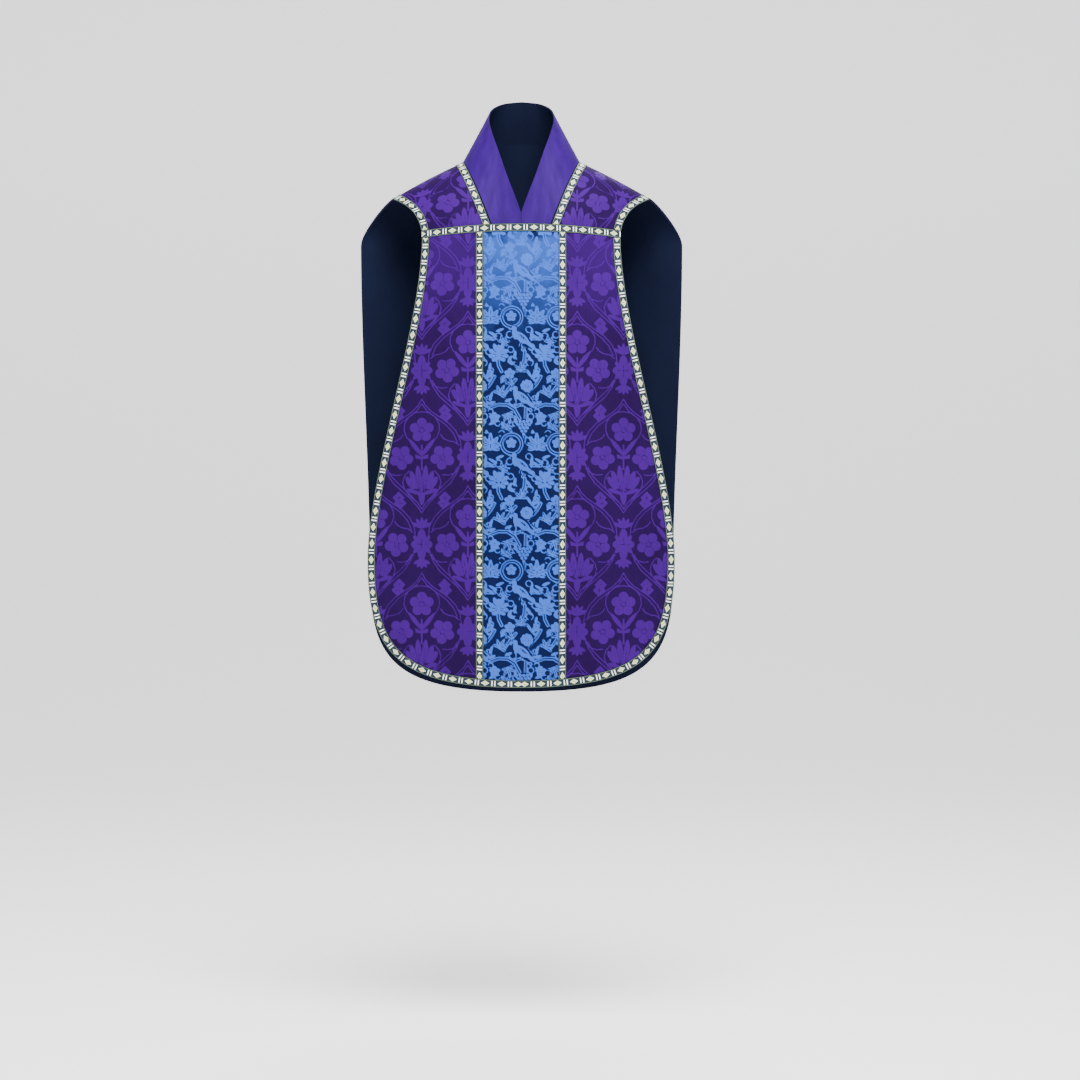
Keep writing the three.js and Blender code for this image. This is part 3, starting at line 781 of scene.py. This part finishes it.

# %% [markdown]
# ## The cloths
# Every material reads the flat place in millimetres or the figure distance that the sheet carries.
# The figure is smoother than the ground, so the two differ in roughness too. Below the chest seam
# the ground is painted in the figure's colour. This painted sheen stands in for the lamp's even
# shine on the tilted silk, and it partly hides the figure there.

# %% What a cloth's material is built from


class Dyeing:
    """A cloth's material, and the steps that its colour and relief are made by."""

    def __init__(self, name):
        self.material, self.tree, self.shader = new_material(name)

    def feed(self, socket, value):
        """Gives a socket a value, or links another socket to it."""
        if isinstance(value, bpy.types.NodeSocket):
            self.tree.links.new(value, socket)
        else:
            socket.default_value = value

    def maths(self, operation, *values):
        """One arithmetic step. A value is a number or a socket."""
        node = add_node(self.tree, "ShaderNodeMath", operation=operation)
        for socket, value in zip(node.inputs, values):
            self.feed(socket, value)
        return node.outputs[0]

    def mix(self, share, first, second):
        """Blends two colours, each a socket or an sRGB hex text."""
        node = add_node(self.tree, "ShaderNodeMix", data_type="RGBA")
        self.feed(node.inputs[0], share)
        for socket, colour in ((node.inputs[6], first), (node.inputs[7], second)):
            self.feed(socket, hex_colour(colour) if isinstance(colour, str) else colour)
        return node.outputs[2]

    def flat(self):
        """The place on the flat cloth in millimetres: across, then down."""
        place = add_node(self.tree, "ShaderNodeUVMap", uv_map="flat_mm").outputs[0]
        return add_node(self.tree, "ShaderNodeSeparateXYZ", {"Vector": place}).outputs

    def noise(self, across, down, detail=3.0):
        """Noise on the flat cloth, as fine as its two numbers, so it can run along the threads."""
        flat = add_node(self.tree, "ShaderNodeUVMap", uv_map="flat_mm").outputs[0]
        place = add_node(self.tree, "ShaderNodeMapping", {"Vector": flat})
        place.inputs["Scale"].default_value = (across, down, 1)
        return add_node(self.tree, "ShaderNodeTexNoise",
                        {"Vector": place.outputs[0], "Scale": 1.0, "Detail": detail}).outputs[0]

    def spread(self, value, low, high, to_low=0.0, to_high=1.0):
        """Maps a range of a value onto another, clamped."""
        return add_node(self.tree, "ShaderNodeMapRange",
                        {"Value": value, "From Min": low, "From Max": high,
                         "To Min": to_low, "To Max": to_high}).outputs[0]

    def near(self, value, middle, outer, inner):
        """1 within a distance of a middle value, and 0 past a slightly larger one."""
        away = self.maths("ABSOLUTE", self.maths("SUBTRACT", value, middle))
        return self.spread(away, outer, inner)

    def finish(self, colour, roughness, relief, sheen, specular=0.05):
        """Links it all. relief is a height, its distance in metres and its strength, and sheen is
        a weight, its roughness and its tint."""
        bump = add_node(self.tree, "ShaderNodeBump", dict(zip(("Height", "Distance", "Strength"),
                                                              relief)))
        weight, softness, tint = sheen
        for name, value in (("Base Color", colour), ("Roughness", roughness),
                            ("Normal", bump.outputs[0]), ("Sheen Weight", weight),
                            ("Sheen Roughness", softness), ("Sheen Tint", hex_colour(tint)),
                            ("Specular IOR Level", specular)):
            self.feed(self.shader.inputs[name], value)
        return self.material


print("materials can be made")

# %% Damask silks
# How high the broad soft creases stand, against the 0.8 of the woven figure
CREASE_HEIGHT = 24.0
FIGURE_HEIGHT = 0.8
# Painted sheen below the chest seam, where the ground takes the figure's colour: it starts and
# ends between these, in millimetres
PAINTED_SHEEN_STARTS = (225, 245)
PAINTED_SHEEN_ENDS = (270, 430)
PAINTED_SHEEN_RAGGED = 160.0


def damask(name, figure, ground, tint, painted_sheen_share):
    """Silk damask. figure and ground are pairs of sRGB colours that slow noise moves between. The
    last argument is how far the ground is painted in the figure's colour below the chest seam, a
    painted sheen that partly hides the figure."""
    silk = Dyeing(name)
    distance = add_node(silk.tree, "ShaderNodeAttribute", attribute_name="figure").outputs["Fac"]
    inside = silk.spread(distance, 0.35, -0.35)
    slow = silk.spread(silk.noise(0.012, 0.007), 0.35, 0.65)
    streaks = silk.spread(silk.noise(0.9, 0.03, 2), 0.3, 0.7)
    shade = silk.maths("MULTIPLY", silk.maths("ADD", slow, streaks), 0.5)
    # Painted sheen: in a ragged band below the chest seam, the ground is given the figure's colour
    patchy = silk.noise(0.016, 0.012, 4)
    down = silk.maths("MULTIPLY_ADD", patchy, PAINTED_SHEEN_RAGGED, silk.flat()[1])
    painted_sheen = silk.maths("MULTIPLY", silk.spread(down, *PAINTED_SHEEN_STARTS),
                      silk.spread(down, *PAINTED_SHEEN_ENDS, painted_sheen_share, 0))
    bright = silk.mix(shade, *figure)
    ground_with_painted_sheen = silk.mix(painted_sheen, silk.mix(shade, *ground), bright)
    relief = silk.maths("MULTIPLY_ADD", inside, FIGURE_HEIGHT, silk.noise(2.4, 0.25, 2))
    relief = silk.maths("MULTIPLY_ADD", silk.noise(0.016, 0.009, 2), CREASE_HEIGHT, relief)
    return silk.finish(silk.mix(inside, ground_with_painted_sheen, bright), silk.spread(inside, 0, 1, 0.7, 0.55),
                       (relief, 0.00012, 0.6), (0.01, 0.35, tint))


# The last number of each silk is how much painted sheen its ground takes below the chest seam
# Violet silk: a bright satin figure on a deep ground of the same dye; it gives the ogees
purple_silk = damask("purple silk damask", ("2c0456", "350763"), ("16012c", "1c0338"),
                     "7a5ce0", 0.42)
# Blue silk: a sky-blue figure on a navy ground; it gives the bright vine down the middle
blue_silk = damask("blue silk damask", ("26489a", "3058ae"), ("050b2c", "081138"), "9cc0f8", 0.62)
print("silks:", purple_silk.name, blue_silk.name)

# %% Plain cloths


def plain_cloth(name, colours, roughness, thread, relief, sheen=0.0, tint="ffffff", mottle=0.01):
    """A plain weave: two close colours, thread noise and a little relief."""
    cloth = Dyeing(name)
    slow = cloth.spread(cloth.noise(mottle, mottle * 0.6, 5), 0.35, 0.65)
    threads = cloth.noise(*thread, 2)
    shade = cloth.maths("MULTIPLY_ADD", threads, 0.5, cloth.maths("MULTIPLY", slow, 0.5))
    return cloth.finish(cloth.mix(shade, *colours), roughness, (threads, relief, 0.5),
                        (sheen, 0.4, tint))


# Violet satin of the neck band: smooth and plain, lighter where it turns to the lamp
violet_satin = plain_cloth("violet satin", ("1d0344", "2f0862"), 0.6, (1.6, 0.08),
                           0.0001, 0.01, "8d70e6", 0.03)
# Navy cotton sateen of the lining: soft and matt, it frames the vestment where the sides open
navy_sateen = plain_cloth("navy cotton sateen", ("080c1e", "0e1429"), 0.75, (1.2, 1.2),
                          0.0001, 0.02, "5a6aa0")
# Linen canvas of the interlining: coloured near black as painted shade, so that its thin edges
# between the face and the lining read as a shadow line
linen_canvas = plain_cloth("linen canvas painted dark as shade", ("1b1729", "262038"), 0.85, (0.7, 0.7), 0.0003)
print("plain cloths:", violet_satin.name, navy_sateen.name, linen_canvas.name)

# %% [markdown]
# The galloon is a narrow ribbon with a motif every 33 mm: a pale diamond with a smaller one
# inside, then two white bars, on a dark ground between darker edges with a thin green line.

# %% Woven galloon
GALLOON_REPEAT = 33.0
# The diamond's half width and half length, where the bars lie, and where the dark edge begins
DIAMOND = (4.9, 8.2)
BAR_AT = 13.6
BAR_REACH = 4.9
EDGE_AT = 5.7
EDGE_LINE_AT = 6.5


def woven_galloon():
    ribbon = Dyeing("woven silk galloon")
    parts = ribbon.flat()
    across = ribbon.maths("ABSOLUTE", ribbon.maths("SUBTRACT", parts[0], GALLOON_WIDTH / 2))
    along = ribbon.maths("PINGPONG", parts[1], GALLOON_REPEAT / 2)
    diamond = ribbon.maths("ADD", ribbon.maths("DIVIDE", across, DIAMOND[0]),
                           ribbon.maths("DIVIDE", along, DIAMOND[1]))
    outer = ribbon.spread(diamond, 1.03, 0.97)
    bars = ribbon.maths("MULTIPLY", ribbon.near(along, BAR_AT, 1.25, 1.0),
                        ribbon.spread(across, BAR_REACH + 0.3, BAR_REACH))
    ribs = ribbon.noise(0.6, 2.2, 2)
    ground = ribbon.mix(ribs, "141d2e", "27343c")
    colour = ribbon.mix(outer, ground, ribbon.mix(ribs, "ccd0a0", "e6e9c2"))
    for share, tint in ((ribbon.near(diamond, 0.6, 0.1, 0.06), "6d7c3a"),
                        (ribbon.spread(diamond, 0.27, 0.22), "4a5a30"), (bars, "e9ebdc"),
                        (ribbon.spread(across, EDGE_AT, EDGE_AT + 0.3), "0e1626"),
                        (ribbon.near(across, EDGE_LINE_AT, 0.45, 0.3), "5c6b50")):
        colour = ribbon.mix(share, colour, tint)
    raised = ribbon.maths("ADD", outer, bars)
    height = ribbon.maths("MULTIPLY_ADD", raised, FIGURE_HEIGHT, ribs)
    return ribbon.finish(colour, 0.5, (height, 0.0002, 0.6), (0.02, 0.4, "e8ecd0"), 0.1)


# Silk and cotton ribbon; it outlines every part with a light dotted line
galloon = woven_galloon()
print("galloon repeat:", GALLOON_REPEAT, "mm")

# %% [markdown]
# ## The front panel
# It hangs from the chest seam, inside the same outline as the plain model's. The flat place is the
# same as the hanging one, because the cloth falls almost plumb.

# %% Front cloths
# Each kind of cloth: its two faces in the stack in millimetres, its material and its slot
LINING = ((0, 0.6), navy_sateen, "lining")
CANVAS = ((0.9, 1.9), linen_canvas, "interlining")
PURPLE = ((2.2, 3.0), purple_silk, "purple_damask")
BLUE = ((2.2, 3.0), blue_silk, "orphrey_damask")
SATIN = ((2.2, 3.0), violet_satin, "purple_satin")
BRAID = ((3.4, 4.4), galloon, "galloon")
# Grid spacings in millimetres: fine enough for the figure's lines, and coarse for plain cloth
FINE = 2.6
FRONT_FINE = 2.15
ORPHREY_FINE = 2.2
COARSE = 9.0
SEAM_GAP = 0.2
BRAID_END_GAP = 0.8
# Where a figure's first repeat begins on the flat cloth, so that both sides mirror each other
PURPLE_PHASE = {1: (205, 604), -1: (-199, 604)}
BLUE_PHASE = (-84.5, 297)
SIDES = {"left": 1, "right": -1}
FRONT_HINGE = ("shoulders", "front_panel", (0, -0.13, -0.15), (0, -0.13, -0.34))
BACK_HINGE = ("shoulders", "back_panel", (0, 0.06, -0.10), (0, 0.14, -0.20))


def sew(name, patches, kind, nodes, motion):
    """Makes a sheet of a kind of cloth and hides the plain solids that it stands for. A sheet that
    moves with the shoulders is attached to them; any other is only fixed where it hangs."""
    layer, material, slot = kind
    piece = make_sheet(name, patches, layer, material)
    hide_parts(*nodes)
    if motion == "shoulders":
        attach(piece, "shoulders")
    else:
        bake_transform(piece)


def shares(length, spacing):
    return np.linspace(0, 1, count_for(length, spacing))


def hung(flat, depth):
    """A panel's grid: its place, and its flat place with v downwards."""
    return on_panel(flat, depth), flat * (1, -1)


def one_side(flat, side, inner):
    """Turns a patch to its side, and keeps it outside an inner edge."""
    return np.stack([side * np.maximum(flat[..., 0], inner), flat[..., 1]], -1)


def figured(grids, figure, phase, shift=0):
    """Adds a woven figure to grids. shift moves where they were cut from, but not the figure."""
    return [(place, flat + (0, shift), figure(flat, phase)) for place, flat in grids]


def whole_panel(outline, top_z, depth, spacing):
    """Plain patches over a whole panel, for the layers under the face."""
    down = shares(outline.length, spacing)
    patches = [hung(blend_patch(outline, top_z, down, shares(220, spacing)) * (side, 1), depth)
               for side in (1, -1)]
    x = np.linspace(-ORPHREY_HALF, ORPHREY_HALF, count_for(2 * ORPHREY_HALF, spacing))
    return patches + [hung(column_patch(outline, top_z, down, x), depth)]


flat_side = blend_patch(front_outline, seam_z, shares(FRONT_LENGTH, FRONT_FINE),
                        shares(222, FRONT_FINE))
for name, side in SIDES.items():
    grid = hung(one_side(flat_side, side, ORPHREY_HALF + SEAM_GAP), front_depth)
    sew(f"front_damask_cloth_{name}", figured([grid], purple_figure, PURPLE_PHASE[side]), PURPLE,
        [f"front_damask_{name}"], FRONT_HINGE)
x = np.linspace(-ORPHREY_HALF + SEAM_GAP, ORPHREY_HALF - SEAM_GAP,
                count_for(2 * ORPHREY_HALF, ORPHREY_FINE))
flat = column_patch(front_outline, seam_z, shares(FRONT_LENGTH, ORPHREY_FINE), x)
grid = hung(flat, front_depth)
sew("front_orphrey_cloth", figured([grid], blue_figure, BLUE_PHASE), BLUE, ["front_orphrey"],
    FRONT_HINGE)
under = whole_panel(front_outline, seam_z, front_depth, COARSE)
sew("front_lining_cloth", under, LINING, ["front_lining"], FRONT_HINGE)
sew("front_canvas", under, CANVAS, ["front_interlining"], FRONT_HINGE)

# %% [markdown]
# ## The back and the shoulders
# The back is cut in one with the shoulders, so each of its layers is one long sheet: over the
# shoulder from the chest seam, and down to the hem. The shoulder part is a grid of turns round the
# shoulder. The part beside the neck has its own, because the neck edge rises to the nape there.

# %% Back cloths
# Rough lengths of cloth in millimetres, which only say how many rows a grid gets
YOKE_LENGTH = 200
WING_LENGTH = 240
BACK_ROWS_SHARE = 0.85
# The turn at which the yoke starts, just clear of the chest seam
YOKE_START = -90 + 0.15
NAPE_COLUMNS = 14
BACK_FINE = 2.7
BACK_COARSE = 4.5
# The back was cut from farther along the cloth, so it doesn't share the painted sheen below the
# front's chest seam
BACK_CUT = 2000


def turned(x, turn, v, first_row=False):
    """A grid over the shoulder. v is the distance along the cloth at its last or first row."""
    place = over_shoulder(x, turn)
    along = distances(place)
    down = v - along if first_row else v + along - along[-1]
    return place, np.stack([place[..., 0], down], -1)


def yoke_grid(side, across, spacing):
    """From the chest seam to the top of the shoulder, between the neck and the arm."""
    turn = np.linspace(YOKE_START, 0, count_for(YOKE_LENGTH, spacing))[:, None]
    x = neck_edge(turn) + (arm_edge(turn) - neck_edge(turn)) * across[None, :]
    return turned(side * x, turn, -SEAM_Z, first_row=True)


def wing_grid(side, across, spacing):
    """From the top of the shoulder to the blades, outside the neck."""
    turn = np.linspace(0, 90, count_for(WING_LENGTH, spacing))[:, None]
    x = NECK_HALF + (arm_edge(turn) - NECK_HALF) * across[None, :]
    return turned(side * x, turn + AFTER_RIDGE, -BLADE_Z)


def column_grid(x, spacing, start=0):
    """Straight columns from the neck edge to the blades."""
    rows = count_for(WING_LENGTH * (90 - start) / 90, spacing)
    turn = np.linspace(start, 90, rows)[:, None]
    return turned(np.asarray(x)[None, :] + 0 * turn, turn + AFTER_RIDGE, -BLADE_Z)


def blade_line(x):
    return BLADE_Z + 0 * np.asarray(x, float)


def back_side(side, spacing, inner):
    """All the grids of one side of the back, from the chest seam to the hem."""
    nape = np.linspace(inner, NECK_HALF, NAPE_COLUMNS)
    wing_share = shares(WING_HALF - NECK_HALF, spacing)
    wing = NECK_HALF + (WING_HALF - NECK_HALF) * wing_share
    across = (np.concatenate([nape, wing[1:]]) - ORPHREY_HALF) / (WING_HALF - ORPHREY_HALF)
    down = shares(back_outline.length * BACK_ROWS_SHARE, spacing)
    flat = one_side(blend_patch(back_outline, blade_line, down, across), side, inner)
    return [yoke_grid(side, wing_share, spacing), wing_grid(side, wing_share, spacing),
            column_grid(side * nape, spacing), hung(flat, back_depth)]


def back_middle(half, spacing):
    """The two grids of the middle of the back."""
    x = np.linspace(-half, half, count_for(2 * half, spacing))
    down = shares(back_outline.length * BACK_ROWS_SHARE, spacing)
    flat = column_patch(back_outline, blade_line, down, x)
    return [column_grid(x, spacing), hung(flat, back_depth)]


for name, side in SIDES.items():
    yoke, *rest = back_side(side, BACK_FINE, ORPHREY_HALF + SEAM_GAP)
    patches = figured([yoke], purple_figure, PURPLE_PHASE[side])
    patches += figured(rest, purple_figure, PURPLE_PHASE[side], BACK_CUT)
    sew(f"back_damask_cloth_{name}", patches, PURPLE,
        [f"shoulder_damask_{name}", f"back_damask_{name}"], BACK_HINGE)
patches = figured(back_middle(ORPHREY_HALF - SEAM_GAP, FINE), blue_figure, BLUE_PHASE, BACK_CUT)
sew("back_orphrey_cloth", patches, BLUE, ["upper_back_orphrey", "back_orphrey"], BACK_HINGE)
under = [grid for side in (1, -1) for grid in back_side(side, BACK_COARSE, ORPHREY_HALF)]
under += back_middle(ORPHREY_HALF, BACK_COARSE)
sew("back_lining_cloth", under, LINING, ["shoulder_lining", "back_lining"], BACK_HINGE)
sew("back_canvas", under, CANVAS, ["shoulder_interlining", "back_interlining"], BACK_HINGE)

# %% [markdown]
# ## The galloons
# Each braid is sewn flat on the face cloth, so it is a strip of the same surface. Its flat place
# runs across the braid and along it, so the motif turns the corners with the braid.

# %% Galloon strips
BRAID_COLUMNS = 9
BRAID_STEP = 2.5
# Sideways reach used to find an outline's direction, as a share of its length
DIRECTION_STEP = 0.002
# Columns crowd towards the middle of the nape, where the neck edge turns fastest
NAPE_CROWDING = 1.3
width_shares = np.linspace(0, GALLOON_WIDTH, BRAID_COLUMNS)


def ribbons(*places):
    """Strips that follow each other, with rows along the braid and columns across it."""
    patches, start = [], 0.0
    for place in places:
        along = start + distances(place[:, place.shape[1] // 2])
        flat = np.stack(np.broadcast_arrays(width_shares[None, :], along[:, None]), -1)
        patches.append((place, flat))
        start = along[-1]
    return patches


def edge_strip(outline, depth, side, start=0.0):
    """The strip just inside a panel's outline."""
    share = np.linspace(start, 1, count_for((1 - start) * outline.length, BRAID_STEP))
    step = outline.at(np.minimum(share + DIRECTION_STEP, 1))
    step = step - outline.at(np.maximum(share - DIRECTION_STEP, 0))
    step /= np.linalg.norm(step, axis=1)[:, None]
    inwards = np.stack([step[:, 1], -step[:, 0]], -1)
    flat = outline.at(share)[:, None] + inwards[:, None] * width_shares[None, :, None]
    return on_panel(one_side(flat, side, 0), depth)


def straight_strip(outline, top_z, depth, length, x, top_gap):
    """The strip over an orphrey's seam, from the top to just above the edge galloon."""
    flat = column_patch(outline, top_z, shares(length, BRAID_STEP), x)
    top, bottom = flat[:1, :, 1] - top_gap, flat[-1:, :, 1] + GALLOON_WIDTH + BRAID_END_GAP
    flat[..., 1] = top + (bottom - top) * np.linspace(0, 1, len(flat))[:, None]
    return on_panel(flat, depth)


def turn_above_braid(x):
    """The turn at which the shoulder comes out from under the chest galloon."""
    height = ridge(x)[1] - seam_z(x)
    return -math.degrees(math.acos((GALLOON_WIDTH + BRAID_END_GAP) / height))


loop = []
for side in (1, -1):
    loop += ribbons(edge_strip(front_outline, front_depth, side,
                               BRAID_END_GAP / front_outline.length))
sew("front_edge_braid", loop, BRAID, ["front_edge_galloon"], FRONT_HINGE)
for name, side in SIDES.items():
    x = side * (ORPHREY_HALF - GALLOON_WIDTH / 2 + width_shares)
    strip = straight_strip(front_outline, seam_z, front_depth, FRONT_LENGTH, x, BRAID_END_GAP)
    sew(f"front_orphrey_braid_{name}", ribbons(strip), BRAID, [f"front_orphrey_galloon_{name}"],
        FRONT_HINGE)
    upper = column_grid(x, BRAID_STEP, NAPE_BRAID_TURN + 0.3)[0]
    lower = straight_strip(back_outline, blade_line, back_depth, BACK_LENGTH, x, 0)
    sew(f"back_orphrey_braid_{name}", ribbons(upper, lower), BRAID,
        [f"upper_orphrey_galloon_{name}", f"back_orphrey_galloon_{name}"], BACK_HINGE)

loop, neck = [], []
for side in (1, -1):
    start = turn_above_braid(CHEST_HALF - GALLOON_WIDTH / 2)
    turn = np.concatenate([np.linspace(start, 0, 80), np.linspace(0, 90, 80)[1:]])[:, None]
    arm = over_shoulder(side * (arm_edge(turn) - width_shares[None, :]), turn)
    loop += ribbons(arm, edge_strip(back_outline, back_depth, side))
    start = turn_above_braid(NECK_FRONT_HALF + GALLOON_WIDTH / 2)
    turn = np.linspace(start, 0, 80)[:, None]
    front = over_shoulder(side * (neck_edge(turn) + width_shares[None, :]), turn)
    nape_turn = width_shares / GALLOON_WIDTH * NAPE_BRAID_TURN + AFTER_RIDGE
    corner = over_shoulder(side * (NECK_HALF + width_shares[None, :]), nape_turn[:, None])
    x = side * (NECK_HALF - NECK_HALF * np.linspace(0, 1, 90) ** NAPE_CROWDING)[:, None]
    neck += ribbons(front, corner, over_shoulder(x, nape_turn[None, :]))
sew("back_edge_braid", loop, BRAID,
    ["armhole_galloon_left", "armhole_galloon_right", "back_edge_galloon"], BACK_HINGE)
sew("neck_braid", neck, BRAID, ["neck_galloon"], "shoulders")
x = np.linspace(-CHEST_HALF, CHEST_HALF, 160)[:, None] + 0 * width_shares[None, :]
chest = np.stack([x, front_depth(x, SEAM_Z), seam_z(x) + SEAM_GAP + width_shares[None, :]], -1)
sew("chest_braid", ribbons(chest), BRAID, ["chest_galloon"], "shoulders")

# %% [markdown]
# ## The neck band
# A stand-up band of satin follows the neck edge. It is a ruled surface between the neck edge and a
# free curve, which comes down in a V to the chest seam in front and stands up behind the neck.

# %% Band cloths
FREE_EDGE = [(0, -121, -113), (9, -116, -86), (27, -100, -38), (43, -78, 10), (58, -50, 55),
             (65, -15, 88), (58, 28, 115), (34, 56, 131), (0, 64, 136)]
# The face and the canvas stop short of the neck edge, and the two halves meet in a hair's gap
BAND_LIFT = 3
BAND_SEAM = 0.0001
BAND_COARSE = 4
# Rows crowd towards the chest on the free edge, where it is steepest
BAND_EASE = 0.7
# Rough length along the neck and height of the band, which only say how fine the grid is
BAND_LENGTH = 380
BAND_HEIGHT = 90


def between(a, b, start, end, t):
    """Goes from a to b as t goes from start to end."""
    return (end - t) / (end - start) * a + (t - start) / (end - start) * b


def curve_through(points, count=60):
    """A smooth curve through points, with steps that fit uneven spacing."""
    points = np.array(points, float)
    points = np.concatenate([[2 * points[0] - points[1]], points, [2 * points[-1] - points[-2]]])
    out = []
    for a, b, c, d in zip(points, points[1:], points[2:], points[3:]):
        t0 = 0.0
        t1 = t0 + np.linalg.norm(b - a) ** 0.5
        t2 = t1 + np.linalg.norm(c - b) ** 0.5
        t3 = t2 + np.linalg.norm(d - c) ** 0.5
        t = np.linspace(t1, t2, count)[:, None]
        bc = between(b, c, t1, t2, t)
        abc = between(between(a, b, t0, t1, t), bc, t0, t2, t)
        bcd = between(bc, between(c, d, t2, t3, t), t1, t3, t)
        out.append(between(abc, bcd, t1, t2, t))
    return np.concatenate(out)


def resample(line, share):
    """Points at even shares of a line's length."""
    along = distances(line)
    along /= along[-1]
    return np.stack([np.interp(share, along, line[:, k]) for k in range(3)], -1)


def band_half(side, lift, spacing, gap=0.0):
    """Half of the band, from the middle of the chest to the middle of the nape."""
    chest = np.linspace(0, NECK_FRONT_HALF, 40)
    chest = np.stack([chest, front_depth(chest, SEAM_Z), seam_z(chest)], -1)
    turn = np.linspace(-90, 0, 200)
    neck_x = NECK_HALF * (1 - np.linspace(0, 1, 400) ** NAPE_CROWDING)
    lower = np.concatenate([chest, over_shoulder(neck_edge(turn), turn),
                            over_shoulder(neck_x, AFTER_RIDGE)])
    share = np.linspace(gap, 1 - gap, count_for(BAND_LENGTH, spacing))
    lower = resample(lower, share)
    upper = resample(curve_through(FREE_EDGE), share ** BAND_EASE)
    reach = np.linalg.norm(lower - upper, axis=1)[:, None]
    fall = np.linspace(0, 1, count_for(BAND_HEIGHT, spacing))[:, None, None]
    fall = fall * (1 - lift / reach)[None]
    place = (upper[None] + (lower - upper)[None] * fall) * (side, 1, 1)
    down = fall[..., 0]
    flat = np.stack([distances(lower)[None, :] + 0 * down, down * reach[None, :, 0]], -1)
    return place, flat


for name, side in SIDES.items():
    sew(f"neck_band_cloth_{name}", [band_half(side, BAND_LIFT, FINE, BAND_SEAM)], SATIN,
        [f"neck_band_{name}"], "shoulders")
sew("neck_band_canvas", [band_half(side, BAND_LIFT, BAND_COARSE) for side in (1, -1)], CANVAS,
    ["neck_band_stay"], "shoulders")
sew("neck_band_lining", [band_half(side, 0, BAND_COARSE) for side in (1, -1)], LINING,
    ["neck_band_facing"], "shoulders")

# %% [markdown]
# ## The flat sizes
# Each sheet was cut from flat cloth. Its width and length are those of the rectangle it was cut
# from, and its area is what is left of that rectangle.

# %% Say what each sheet was cut to
# Width and length in metres, and area in square metres. A left and a right piece are cut alike
CUTS = {
    "front_damask_cloth": (0.23, 0.88, 0.168), "front_orphrey_cloth": (0.166, 0.918, 0.152),
    "front_lining_cloth": (0.63, 0.93, 0.487), "front_canvas": (0.63, 0.93, 0.487),
    "back_damask_cloth": (0.25, 1.36, 0.282), "back_orphrey_cloth": (0.166, 1.15, 0.19),
    "back_lining_cloth": (0.66, 1.38, 0.75), "back_canvas": (0.66, 1.38, 0.75),
    "neck_band_cloth": (0.13, 0.4, 0.031), "neck_band_canvas": (0.13, 0.8, 0.062),
    "neck_band_lining": (0.13, 0.8, 0.064), "front_edge_braid": (0.015, 2.38, 0.0356),
    "back_edge_braid": (0.015, 2.9, 0.0434), "front_orphrey_braid": (0.015, 0.9, 0.0135),
    "back_orphrey_braid": (0.015, 1.11, 0.0166), "neck_braid": (0.015, 0.73, 0.0109),
    "chest_braid": (0.015, 0.41, 0.0061),
}
for cut, (width, length, area) in CUTS.items():
    for name in (cut, cut + "_left", cut + "_right"):
        if name not in made:
            continue
        measured = sum(polygon.area for polygon in made[name].data.polygons) / 2
        print(f"{name}: {width} x {length} m, {area} m2 cut, {measured:.4f} m2 hung")
